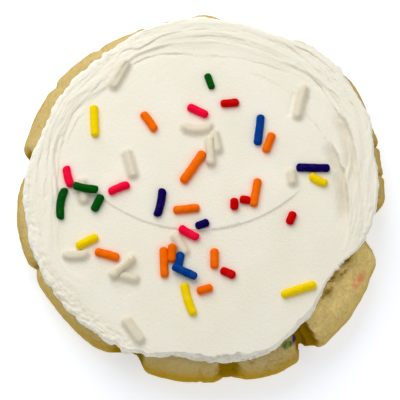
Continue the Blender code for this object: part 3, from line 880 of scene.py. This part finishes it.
def cookie_rows():
    """The rows of the blank from the covered top to the foot: radius as a share from the brow to
    the edge or of the edge, height, and the outward and upward parts of the normal."""
    rows = [("top", radius / (COOKIE_RADIUS - SHOULDER_WIDTH), 0, 0, 1) for radius in COVERED_ROWS]
    for turn in np.linspace(0, math.pi / 2, SHOULDER_ROWS):
        rows.append(("shoulder", math.sin(turn), 0, math.sin(turn), math.cos(turn)))
    undercut = 1 - FOOT_RADIUS / COOKIE_RADIUS
    for turn in np.linspace(0, math.pi / 2, UNDERCUT_ROWS + 1)[1:]:
        share = 1 - undercut * (1 - math.cos(turn))
        height = WIDEST_HEIGHT * (1 - math.sin(turn))
        rows.append(("side", share, height, math.cos(turn), -math.sin(turn)))
    rows += [("side", radius / COOKIE_RADIUS, 0, 0, 0) for radius in FOOT_ROWS]
    return rows


def baked_in_rods(place, normal, azimuth):
    """Each sprinkle that baked into the side, with its middle and its direction."""
    for colour, rods in BAKED_IN.items():
        for rod in rods:
            off = np.abs(turn_between(rod.azimuth, azimuth)) + np.abs(place[..., 2] - rod.height)
            nearest = np.unravel_index(np.argmin(off), off.shape)
            out = normal[nearest]
            level = np.cross(UP, out)
            level /= np.linalg.norm(level)
            heading = math.radians(rod.heading)
            along = level * math.cos(heading) + np.cross(out, level) * math.sin(heading)
            middle = place[nearest] - out * (SPRINKLE_RADIUS - BAKED_IN_PROUD)
            yield colour, rod, middle, along


def distance_to_line(place, start, end):
    """How far places are from the line between two points."""
    middle = (start + end) / 2
    length = np.linalg.norm(end - start)
    return distance_to_rod(place, middle, (end - start) / length, length + 2 * SPRINKLE_RADIUS)


def distance_to_rod(place, middle, along, length):
    """How far places are from the line down a rod's middle."""
    reach = max(length / 2 - SPRINKLE_RADIUS, 0.0)
    shift = place - middle
    down = np.clip(shift @ along, -reach, reach)
    return np.linalg.norm(shift - down[..., None] * along, axis=-1)


def cookie_surface():
    """Places and normals of the blank's rows and columns, and the azimuths of the columns."""
    azimuth = cookie_azimuths()
    edge = cookie_edge(azimuth)
    brow = cookie_brow(azimuth)
    places = []
    normals = []
    for kind, share, height, out, up in cookie_rows():
        if kind == "side":
            radius = share * edge
            level = np.full_like(radius, height)
        else:
            radius = share * brow if kind == "top" else brow + share * (edge - brow)
            level = cookie_top(radius, azimuth)
        places.append(at(radius, azimuth, level))
        normals.append(at(out, azimuth, up))
    return np.array(places), np.array(normals), azimuth


def dough_relief(place):
    """How far the baked surface stands out, and the painted shade of its cracks, pores and crevices."""
    cracks = 1 - np.clip(np.abs(rough(place, CRACKS)) / CRACK_WIDTH, 0, 1)
    cracks *= smooth(rough(place, CRACK_PATCHES), 0.0, 0.2)
    pores = smooth(rough(place, PORES), 0.28, 0.45)
    lumps = rough(place, LUMPS) - 0.25 * LUMPS.strength
    relief = lumps + rough(place, CRUMB) - CRACK_DEPTH * cracks - PORE_DEPTH * pores
    for knob in KNOBS:
        middle = at(cookie_edge(knob.azimuth), knob.azimuth, knob.height)
        relief += knob.rise * bump(np.linalg.norm(place - middle, axis=-1), knob.reach)
    # Cracks, pores and crevices are painted darker: a painted shade
    dark = 0.3 * cracks + 0.15 * pores
    for crevice in CREVICES:
        azimuths, radii = points_of(crevice.route)
        ends = at(radii, azimuths, 0)
        level = place * (1, 1, 0)
        away = np.min([distance_to_line(level, *pair) for pair in zip(ends[:-1], ends[1:])], axis=0)
        away = np.abs(away + rough(place, CREVICE_JAGS))
        share = bump(away, crevice.width) * (place[..., 2] > WIDEST_HEIGHT)
        relief -= crevice.depth * share
        dark = np.maximum(dark, 0.6 * share)
    return relief, np.clip(dark, 0, 1)


def carve_dough(place, normal, azimuth):
    """The places once the splits, the pits and the relief are in, the depths of the splits and
    of the pits, and the painted shade of the cracks."""
    height = place[..., 2]
    radius = np.hypot(place[..., 0], place[..., 1])
    outer = np.maximum(radius - SPLIT_ROOT_RADIUS, 0.0) / (cookie_edge(azimuth) - SPLIT_ROOT_RADIUS)
    depth = split_depth(azimuth + rough(place, JAGS), height) * outer
    relief, crack_shade = dough_relief(place)
    sunk = PIT_SHARE * pit_depth(place) * (height > WIDEST_HEIGHT)
    carved = place + at(-depth, azimuth, -sunk)
    off_foot = smooth(height, 0.0, 1.2)
    carved += normal * (relief * off_foot)[..., None]
    return carved, depth, sunk, crack_shade


def bake_in(carved, normal, azimuth):
    """Raises the dough over the baked-in sprinkles, and gives the share and colour of the stain."""
    stain = np.zeros(carved.shape[:2])
    stain_colour = np.zeros((*stain.shape, 4))
    for colour, rod, middle, along in baked_in_rods(carved, normal, azimuth):
        away = distance_to_rod(carved, middle, along, rod.length)
        patchy = np.clip(rod.strength * (0.6 + rough(carved, BAKED_PATCHES)), 0, 1)
        carved += normal * (BAKED_IN_PROUD * bump(away, BAKED_STAIN[1]))[..., None]
        fresh, baked = np.array(SPRINKLE_COLOURS[colour]), np.array(COOKIE_COLOUR)
        faded = fresh + BAKED_FADE * (baked - fresh)
        stain = add_stain(stain, stain_colour, patchy * (1 - smooth(away, *BAKED_STAIN)), faded)
    return stain, stain_colour


def dough_tones(place, azimuth, depth, sunk, crack_shade):
    """The painted layers: painted shade in the splits, pits, cracks and under the icing's edge,
    toasting with painted shade and light, and floury colour with painted light.
    """
    height = place[..., 2]
    under = np.hypot(place[..., 0], place[..., 1]) - icing_edge(azimuth)
    pale = 1 - PALE_SHARE * beside(azimuth, *PALE_SPLIT)
    # A painted shade right under the icing's edge in the broken shoulder
    under_icing_shade = UNDER_ICING_SHADE_SHARE * beside(azimuth, *UNDER_ICING_SHADE) * (height > WIDEST_HEIGHT)
    under_icing_shade *= 1 - smooth(under + rough(place, UNDER_ICING_SHADE_JAGS), 0.0, 0.7)
    # Painted shade in the splits, pits and cracks, with that under the icing's edge; less at one split
    crevice = pale * smooth(depth, 0.5, 1.8) + 0.3 * smooth(sunk, 0.15, 0.65) + crack_shade + under_icing_shade
    broken = stretch(azimuth, BREAK_OPENS, FRESH_ENDS)
    buff = beside(azimuth, *BUFF)
    # Toasting, with a painted shade along the front and a painted light along the rear
    toast_shade_and_light = TOAST_SHARE + BROKEN_TOAST * broken + REAR_PAINTED_LIGHT * beside(azimuth, *REAR)
    toast_shade_and_light = (toast_shade_and_light + FRONT_PAINTED_SHADE * beside(azimuth, *FRONT)) * (1 - smooth(height, *TOAST_TOP))
    toast_shade_and_light *= FOOT_TOAST + (1 - FOOT_TOAST) * smooth(height, *TOAST_FOOT)
    toast_shade_and_light *= 1 - BUFF_SHARE * buff
    toast_shade_and_light *= pale
    # Floury colour on the broken shoulder, partly a painted light, strongest at one spot
    spots = smooth(rough(place, FLOUR_SPOTS), -0.2, 0.25)
    spots = np.maximum(spots, beside(azimuth, *PAINTED_LIGHT_SPOT))
    flour_and_light = broken * smooth(height, *FLOUR_HEIGHTS) * (0.6 + 0.4 * spots)
    flour_and_light = np.maximum(flour_and_light, BUFF_SHARE * buff * smooth(height, *BUFF_HEIGHTS))
    return {"crevice": np.clip(crevice, 0, 1), "toast_shade_and_light": toast_shade_and_light, "flour_and_light": flour_and_light}


def make_cookie():
    place, normal, azimuth = cookie_surface()
    carved, depth, sunk, crack_shade = carve_dough(place, normal, azimuth)
    stain, stain_colour = bake_in(carved, normal, azimuth)
    tones = dough_tones(place, azimuth, depth, sunk, crack_shade)
    grid = within_solids(carved.reshape(-1, 3))
    top, bottom = len(grid), len(grid) + 1
    points = np.vstack((grid, at(0, 0, COOKIE_HEIGHT), at(0, 0, 0)))
    number = np.arange(len(grid)).reshape(stain.shape)
    piece = mesh_object("cookie_dough", points, skin_faces(number, bottom, top))
    for name, values in {"stain": stain, **tones}.items():
        paint(piece, name, np.append(values.ravel(), np.zeros(2)))
    paint(piece, "stain_colour", np.vstack((stain_colour.reshape(-1, 4), np.zeros((2, 4)))))
    piece.data.materials.append(cookie_material())
    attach(piece, "root")
    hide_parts("cookie")


# The sprinkles on the icing

def sprinkle_lie(shape):
    """The middle, the direction, the left side and the upper side of a sprinkle on the icing."""
    middle, ahead, _ = flat_lie(shape)
    reach = SPRINKLE_REST * shape.length
    spots = [middle + ahead * share for share in (-reach, 0, reach)]
    tail, waist, head = (float(icing_top(*spot[:2])) for spot in spots)
    head += shape.tilt
    along = 2 * reach * ahead + UP * (head - tail)
    along /= np.linalg.norm(along)
    proud = SPRINKLE_RADIUS * shape.girth - SPRINKLE_BEDDING + shape.lift
    left = np.cross(UP, along)
    left /= np.linalg.norm(left)
    return middle + UP * ((tail + waist + head) / 3 + proud), along, left, np.cross(along, left)


def sprinkle_points(shape, seed):
    """A short rod with blunt round ends, slightly lumpy."""
    middle, along, left, over = sprinkle_lie(shape)
    girth = SPRINKLE_RADIUS * shape.girth
    half = shape.length / 2
    down = -np.cos(np.linspace(0, np.pi, SPRINKLE_ROWS + 2)[1:-1]) * half
    from_tip = np.clip((half - np.abs(down)) / (SPRINKLE_TIP * girth), 0, 1)
    across = girth * (1 - (1 - from_tip) ** SPRINKLE_TIP_POWER) ** (1 / SPRINKLE_TIP_POWER)
    turn = np.arange(SPRINKLE_SIDES) * 2 * np.pi / SPRINKLE_SIDES
    down, turn = np.meshgrid(down, turn, indexing="ij")
    across = across[:, None]
    bow = shape.bow * (0.5 - (2 * down / shape.length) ** 2)
    sideways = across * np.cos(turn)
    upward = across * np.sin(turn)
    local = np.stack((down, sideways, upward), axis=-1)
    swell = 1 + rough(local, SPRINKLE_LUMPS._replace(seed=seed))
    sideways = sideways * swell + bow
    upward = upward * swell
    points = middle + down[..., None] * along + sideways[..., None] * left + upward[..., None] * over
    tips = [middle + end * along + shape.bow * -0.5 * left for end in (-half, half)]
    return points, tips


def make_sprinkles(colour, shapes):
    points = []
    faces = []
    for seed, shape in enumerate(shapes):
        if colour == "white" and shape.lift <= 0:
            shape = shape._replace(lift=-COAT_SINK - 2 * SPRINKLE_RADIUS * (shape.girth - 1))
        grid, tips = sprinkle_points(shape, seed)
        number = len(points) + np.arange(grid[..., 0].size).reshape(grid.shape[:2])
        points.extend((*grid.reshape(-1, 3), *tips))
        tail, head = len(points) - 2, len(points) - 1
        faces += skin_faces(number[::-1], tail, head)
    piece = mesh_object("sprinkles_" + colour, within_solids(np.array(points)), faces)
    piece.data.materials.append(sprinkle_material(colour, SPRINKLE_COLOURS[colour]))
    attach(piece, "root")
    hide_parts("icing")


# The icing's surface

def beside_mark(mark, radius, azimuth, wander):
    """How far outside a knife mark places lie, and how strong the mark is there."""
    along, out = points_of(mark.route)
    middle = along.mean()
    turn = turn_between(middle, azimuth)
    outside = radius - np.interp(turn, along - middle, out) - wander
    begin, end = along[0] - middle, along[-1] - middle
    return outside, smooth(turn, begin, begin + mark.begins) * (1 - smooth(turn, end - mark.ends, end))


def mark_relief(mark, radius, azimuth, wander):
    """The step of one knife mark: up outside its line and down just inside it."""
    outside, fade = beside_mark(mark, radius, azimuth, wander)
    step = smooth(outside, -mark.width / 2, mark.width / 2)
    raised = mark.rise * np.exp(-np.maximum(outside, 0) / mark.fade)
    sunk = -mark.dip * (1 - smooth(-outside, 0.3 * mark.reach, 1.6 * mark.reach))
    cleft = CLEFT_DEPTH * mark.cleft * bell(outside, CLEFT_WIDTH)
    return fade * (raised * step + sunk * (1 - step) - cleft)


def knife_strength(radius, azimuth):
    return 0.25 + 0.8 * smooth(streaky(radius, azimuth, MARK_STRENGTH), -0.25, 0.25)


def line_shade_share(x, y):
    """How far the fine lines of the knife marks are tinted darker: a painted shade in their clefts."""
    radius, azimuth = polar(x, y)
    wander = rough(at(radius, azimuth, 0), MARK_WANDER)
    total = np.zeros_like(x)
    for mark in MARKS:
        outside, fade = beside_mark(mark, radius, azimuth, wander)
        total = np.maximum(total, mark.cleft * fade * bell(outside, LINE_WIDTH))
    return np.clip(LINE_SHARE * knife_strength(radius, azimuth) * total, 0, 1)


def trough_shade_share(x, y):
    """How far the deep troughs of the knife marks are tinted darker: a painted shade."""
    radius, azimuth = polar(x, y)
    deepest = [mark._replace(rise=0.0, cleft=0.0) for mark in MARKS if mark.dip > DEEP_MARK_DIP]
    sunk = sum(-mark_relief(mark, radius, azimuth, 0.0) for mark in deepest)
    return np.clip(sunk, 0.0, 1.0) * (0.7 + rough(at(radius, azimuth, 0), TROUGH_SHADE_PATCHES))


def wall_share(azimuth):
    """1 along the clean-cut front edge, 0 along the rounded and ragged rest."""
    return stretch(azimuth, WALL_BEGINS, WALL_ENDS)


def uneven_wall(azimuth):
    """1 where the cut wall is uneven, less where it runs straight."""
    return 1 - EVEN_WALL_SHARE * smooth(azimuth, *EVEN_WALL_BEGINS)


def wall_lean(azimuth):
    """How far the cut wall leans out from its top edge to its foot."""
    lean = WALL_LEAN + swelling(azimuth, WALL_LEANS_MORE)
    wander = rough(at(ICING_RADIUS, azimuth, 0), WALL_WANDER)
    return lean * np.maximum(1 + wander * uneven_wall(azimuth), LEAST_LEAN)


def ragged_edge(azimuth):
    """The icing's edge with the fine notches that the knife left."""
    rim = at(ICING_RADIUS, azimuth, 0)
    calm = np.maximum(wall_share(azimuth), beside(azimuth, *CALM))
    depth = RAGGED_DEPTH + (CALM_DEPTH - RAGGED_DEPTH) * calm
    teeth = beside(azimuth, *TOOTHED) * rough(rim, TEETH)
    edge = icing_edge(azimuth) + swelling(azimuth, RIM_SWELLS)
    return edge + depth * (rough(rim, RAGS) - 0.1) + teeth


def lip_level(inset, azimuth):
    """The height over the icing's floor near the edge, as a share of its thickness."""
    soft = stretch(azimuth, SOFT_BEGINS, SOFT_ENDS)
    from_edge = 1 - np.clip(inset / (SHARP_LIP + (ROUND_LIP - SHARP_LIP) * soft), 0, 1)
    drop = SHARP_LIP_DROP + (ROUND_LIP_DROP - SHARP_LIP_DROP) * soft
    rounded = 1 - drop * from_edge ** ROUND_LIP_POWER
    down = 1 - np.clip(inset / wall_lean(azimuth), 0, 1)
    leaning = 1 - (1 - WALL_TOE_LEVEL) * smooth(down, -0.15, 1.15)
    leaning += (1 - WALL_TOE_LEVEL) * smooth(0, -0.15, 1.15)
    return rounded + (leaning - rounded) * wall_share(azimuth)


def knife_relief(radius, azimuth, place):
    """The marks of the knife, and the band's inner step smeared soft."""
    wander = rough(place, MARK_WANDER)
    strength = knife_strength(radius, azimuth)
    relief = sum(
        (strength if mark.dip < DEEP_MARK_DIP else 1) * mark_relief(mark, radius, azimuth, wander)
        for mark in MARKS
    )
    foot = band_foot(azimuth)
    for blur in BLURS:
        soft = smooth(radius, foot - blur.reach, foot + BAND_STEP_WIDTH + blur.reach)
        soft -= smooth(radius, foot, foot + BAND_STEP_WIDTH)
        share = stretch(azimuth, blur.begins, blur.ends) * band_share(azimuth)
        relief += share * BAND_RISE * soft
    return relief


def band_relief(radius, azimuth):
    """The streaks, the layers and the creases along the band."""
    foot = band_foot(azimuth)
    relief = streaky(radius, azimuth, FINE_STREAKS)
    phase = (radius - foot) / LAYER_PITCH + streaky(radius, azimuth, LAYER_SWAY)
    part = phase - np.floor(phase)
    patchy = smooth(streaky(radius, azimuth, LAYER_PATCHES), -0.2, 0.25)
    relief += LAYER_DEPTH * patchy * (smooth(part, 0, 0.16) * (1 - part) - 0.4)
    crease = bell(streaky(radius, azimuth, CREASES), CREASE_SHARE)
    relief -= CREASE_DEPTH * crease * smooth(streaky(radius, azimuth, CREASE_PATCHES), 0.0, 0.2)
    return relief * smooth(radius, foot - 1, foot + 1) * (0.1 + 0.9 * band_share(azimuth))


def torn_relief(radius, azimuth, place):
    """The torn stretches of the rim and the dents."""
    relief = np.zeros_like(radius)
    for tear in TEARS:
        share = beside(azimuth, tear.azimuth, tear.reach)
        share = share * smooth(radius, tear.radius - TEAR_GROWTH, tear.radius + TEAR_GROWTH)
        torn = np.abs(streaky(radius, azimuth, TEAR_LINES)) + np.abs(rough(place, TEAR_ENDS))
        relief -= tear.depth * share * (1 - smooth(torn, 0.0, 0.3))
        relief += tear.grit * share * rough(place, GRIT)
    for dent in DENTS:
        middle, ahead, _ = flat_lie(dent)
        away = distance_to_rod(place, middle, ahead, dent.length + 2 * SPRINKLE_RADIUS)
        relief -= dent.depth * bump(away, dent.width)
    return relief


def icing_relief(x, y):
    """The fine relief that the solid leaves out."""
    radius, azimuth = polar(x, y)
    place = flat(x, y)
    relief = knife_relief(radius, azimuth, place) + band_relief(radius, azimuth)
    return relief + rough(place, SWIRLS) + torn_relief(radius, azimuth, place)


def beside_sprinkles(x, y):
    """How far the icing dips by the sprinkles or rises over the white ones, and their tint:
    colour bleed, with a painted contact shade round the dark ones.
    """
    place = flat(x, y)
    dimple = np.zeros_like(x)
    stain = np.zeros_like(x)
    stain_colour = np.zeros((*x.shape, 4))
    for colour, shapes in SPRINKLES.items():
        coated = colour == "white"
        most, reach = (COATED_SHARE, COAT_REACH) if coated else (BLEED_SHARE, BLEED_REACH)
        for shape in shapes:
            middle, ahead, left = flat_lie(shape)
            down = np.clip(2 * ((place - middle) @ ahead) / shape.length, -1, 1)
            bowed = place - (shape.bow * (0.5 - down ** 2))[..., None] * left
            away = distance_to_rod(bowed, middle, ahead, shape.length)
            beyond = np.maximum(away - SPRINKLE_RADIUS * shape.girth * BLEED_BACK, 0)
            if coated:
                outside = np.maximum(away - SPRINKLE_RADIUS * shape.girth * COAT_BACK, 0)
                dimple = np.minimum(dimple, -COAT_HEIGHT * bell(outside, COAT_REACH))
            else:
                dimple = np.maximum(dimple, DIMPLE_DEPTH * bell(beyond, DIMPLE_REACH))
            # Colour bleed round the bright sprinkles, and a painted contact shade round the dark ones
            stain = add_stain(stain, stain_colour, most * bell(beyond, reach), BLEED_AND_SHADE_COLOURS[colour])
    return dimple, stain, stain_colour


def add_stain(stain, stain_colour, share, colour):
    """Puts a colour in where its share is the largest, and gives back the shares."""
    stain_colour[share > stain] = rgba(colour)
    return np.maximum(stain, share)


def disc_grid(half):
    """A square grid wrapped to rings: ring number and azimuth of its vertices, and its faces."""
    across, up = np.meshgrid(np.arange(-half, half + 1), np.arange(-half, half + 1))
    ring = np.maximum(np.abs(across), np.abs(up))
    wide = np.abs(across) >= np.abs(up)
    with np.errstate(divide="ignore", invalid="ignore"):
        side = 45 * up / across + np.where(across < 0, 180, 0)
        end = 90 - 45 * across / up + np.where(up < 0, 180, 0)
    azimuth = np.where(ring == 0, 0, np.where(wide, side, end)) % 360
    number = np.arange(ring.size).reshape(ring.shape)
    quads = np.stack((number[:-1, :-1], number[:-1, 1:], number[1:, 1:], number[1:, :-1]), axis=-1)
    rim = number[ring == half]
    rim = rim[np.argsort(azimuth.ravel()[rim], kind="stable")]
    return ring.ravel(), azimuth.ravel(), quads.reshape(-1, 4), rim


def ring_insets():
    """How far inside the edge each ring stands, from the rim inwards."""
    insets = [0.0]
    for reach, spacing in RING_SPACING:
        insets.extend(np.arange(insets[-1] + spacing, reach - spacing / 2, spacing))
    return np.array([*insets, ICING_RADIUS])


def drawn_to_stroke(x, y):
    """Draws places near the arc of the last stroke close to it, so that the step is crisp."""
    inside = stroke_distance(x, y)
    share = np.minimum(np.abs(inside) / STROKE_PULL, 1)
    drawn = np.copysign(STROKE_STEP + (STROKE_PULL - STROKE_STEP) * share ** 3, inside)
    shift = np.where(np.abs(inside) < STROKE_PULL, inside - drawn, 0)
    length = np.hypot(x - STROKE_MIDDLE[0], y - STROKE_MIDDLE[1])
    return x + shift * (x - STROKE_MIDDLE[0]) / length, y + shift * (y - STROKE_MIDDLE[1]) / length


def layered(place, azimuth):
    """How far the layers of the wall stand out."""
    turn = np.radians(azimuth)
    level = place[..., 2] / WALL_LAYER + rough(place, WALL_SWAY)
    layers = np.stack((level, 12 * np.cos(turn), 12 * np.sin(turn)), axis=-1)
    return uneven_wall(azimuth) * (rough(layers, WALL_LAYERS) + rough(place, WALL_FLAKES))


def icing_surface(inset, azimuth):
    """The places of the icing's upper side, and the share and colour of its stain and painted shade."""
    edge = ragged_edge(azimuth)
    scale = (edge - ROUND_LIP) / (ICING_RADIUS - ROUND_LIP)
    radius = np.where(inset > ROUND_LIP, (ICING_RADIUS - inset) * scale, edge - inset)
    x, y = drawn_to_stroke(*at(radius, azimuth, 0)[:, :2].T)
    floor = icing_floor(radius, azimuth)
    dimple, stain, stain_colour = beside_sprinkles(x, y)
    # Painted shade in the troughs of the deep marks and along the knife lines
    stain = add_stain(stain, stain_colour, trough_shade_share(x, y), TROUGH_SHADE_COLOUR)
    stain = add_stain(stain, stain_colour, line_shade_share(x, y), LINE_SHADE_COLOUR)
    top = icing_top(x, y) + icing_relief(x, y) - dimple
    height = floor + lip_level(inset, azimuth) * (top - floor)
    spread = np.stack((x, y, height), axis=-1)
    lean = wall_lean(azimuth)
    on_wall = wall_share(azimuth) * (1 - smooth(inset, 0.6 * lean, 1.3 * lean))
    layers = layered(spread, azimuth)
    spread += at(on_wall * layers, azimuth, 0)
    # Painted shade in the clefts of the cut wall
    stain = add_stain(stain, stain_colour, on_wall * smooth(-layers, *WALL_CLEFT_SHADE), CLEFT_SHADE_COLOUR)
    return spread, stain, stain_colour


def icing_wall(lip, azimuth):
    """Rows of the wall from the lip down, then those under the icing, and each cleft's painted shade."""
    outline = ragged_edge(azimuth)
    shelf = icing_floor(outline, azimuth)
    rows = []
    cleft_shade = []
    for share in np.linspace(0, 1, WALL_ROWS + 1)[1:]:
        rise = (lip - shelf) * (1 - share)
        toe = np.clip(1 - rise / (WALL_TOE_LEVEL * ICING_THICKNESS), 0, 1)
        tucked = WALL_TOE_INSET * toe ** 2 + swelling(azimuth, OVERHANGS) * share
        row = at(outline - tucked, azimuth, 0)
        row[:, 2] = icing_floor(np.hypot(row[:, 0], row[:, 1]), azimuth) + rise
        layers = layered(row, azimuth)
        cleft_shade.append(smooth(-layers, *WALL_CLEFT_SHADE))
        rows.append(row + at(layers * math.sin(math.pi * share), azimuth, 0))
    for radius in UNDER_RADII:
        under = radius * (outline / ICING_RADIUS)
        rows.append(at(under, azimuth, icing_floor(under, azimuth)))
    return rows, np.concatenate(cleft_shade)


def make_icing():
    insets = ring_insets()
    ring, azimuth, quads, rim = disc_grid(len(insets) - 1)
    spread, stain, stain_colour = icing_surface(insets[::-1][ring], azimuth)
    rows, cleft_shade = icing_wall(spread[rim, 2], azimuth[rim])
    points = np.vstack((spread, *rows, at(0, 0, icing_floor(0, 0))))
    below = len(spread) + np.arange(len(rows) * len(rim)).reshape(len(rows), len(rim))
    faces = quads.tolist() + skin_faces(np.vstack((rim, below)), len(points) - 1)
    piece = mesh_object("icing_spread", within_solids(points), faces)
    plain = len(points) - len(spread)
    # The wall's rows take the painted shade of each cleft
    paint(piece, "stain", np.concatenate((stain, cleft_shade, np.zeros(plain - len(cleft_shade)))))
    paint(piece, "stain_colour", np.vstack((stain_colour, np.tile(rgba(CLEFT_SHADE_COLOUR), (plain, 1)))))
    piece.data.materials.append(icing_material())
    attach(piece, "root")
    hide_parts("icing")


# The floor, the light and the camera

def make_floor():
    corners = np.array(((-1, -1, 0), (1, -1, 0), (1, 1, 0), (-1, 1, 0)))
    floor = mesh_object("floor", corners * FLOOR_REACH - (0, 0, FLOOR_GAP), [(0, 1, 2, 3)])
    shading = Shading("pale_floor", roughness=0.9, specular=0.1)
    shading.set("Base Color", FLOOR_COLOUR)
    shading.set("Emission Color", (1.0, 1.0, 1.0, 1.0))
    shading.set("Emission Strength", FLOOR_GLOW)
    floor.data.materials.append(shading.material)


def hang_lamp(lamp):
    light = bpy.data.lights.new(lamp.name, "AREA")
    light.shape = "DISK"
    light.size = lamp.width * MM
    light.energy = lamp.power
    light.color = lamp.colour
    holder = bpy.data.objects.new(lamp.name, light)
    holder.location = Vector(lamp.place) * MM
    bpy.context.scene.collection.objects.link(holder)
    holder.rotation_euler = (LAMP_TARGET * MM - holder.location).to_track_quat("-Z", "Y").to_euler()


def make_world():
    world = bpy.data.worlds.new("studio")
    world.use_nodes = True
    background = world.node_tree.nodes["Background"]
    background.inputs["Color"].default_value = SKY_COLOUR
    background.inputs["Strength"].default_value = SKY_STRENGTH
    bpy.context.scene.world = world


def make_camera():
    camera = bpy.data.cameras.new("camera")
    camera.lens = CAMERA_LENS
    camera.sensor_width = CAMERA_SENSOR
    holder = bpy.data.objects.new("camera", camera)
    tilt = math.radians(CAMERA_ELEVATION)
    back = Vector((0, -math.cos(tilt), math.sin(tilt))) * CAMERA_DISTANCE
    holder.location = (CAMERA_TARGET + back) * MM
    holder.rotation_euler = (math.pi / 2 - tilt, 0, 0)
    bpy.context.scene.collection.objects.link(holder)
    bpy.context.scene.camera = holder


make_camera()
make_world()
for lamp in LAMPS:
    hang_lamp(lamp)
make_floor()
bpy.context.scene.view_settings.view_transform = "Standard"
make_cookie()
make_icing()
for colour, shapes in SPRINKLES.items():
    make_sprinkles(colour, shapes)
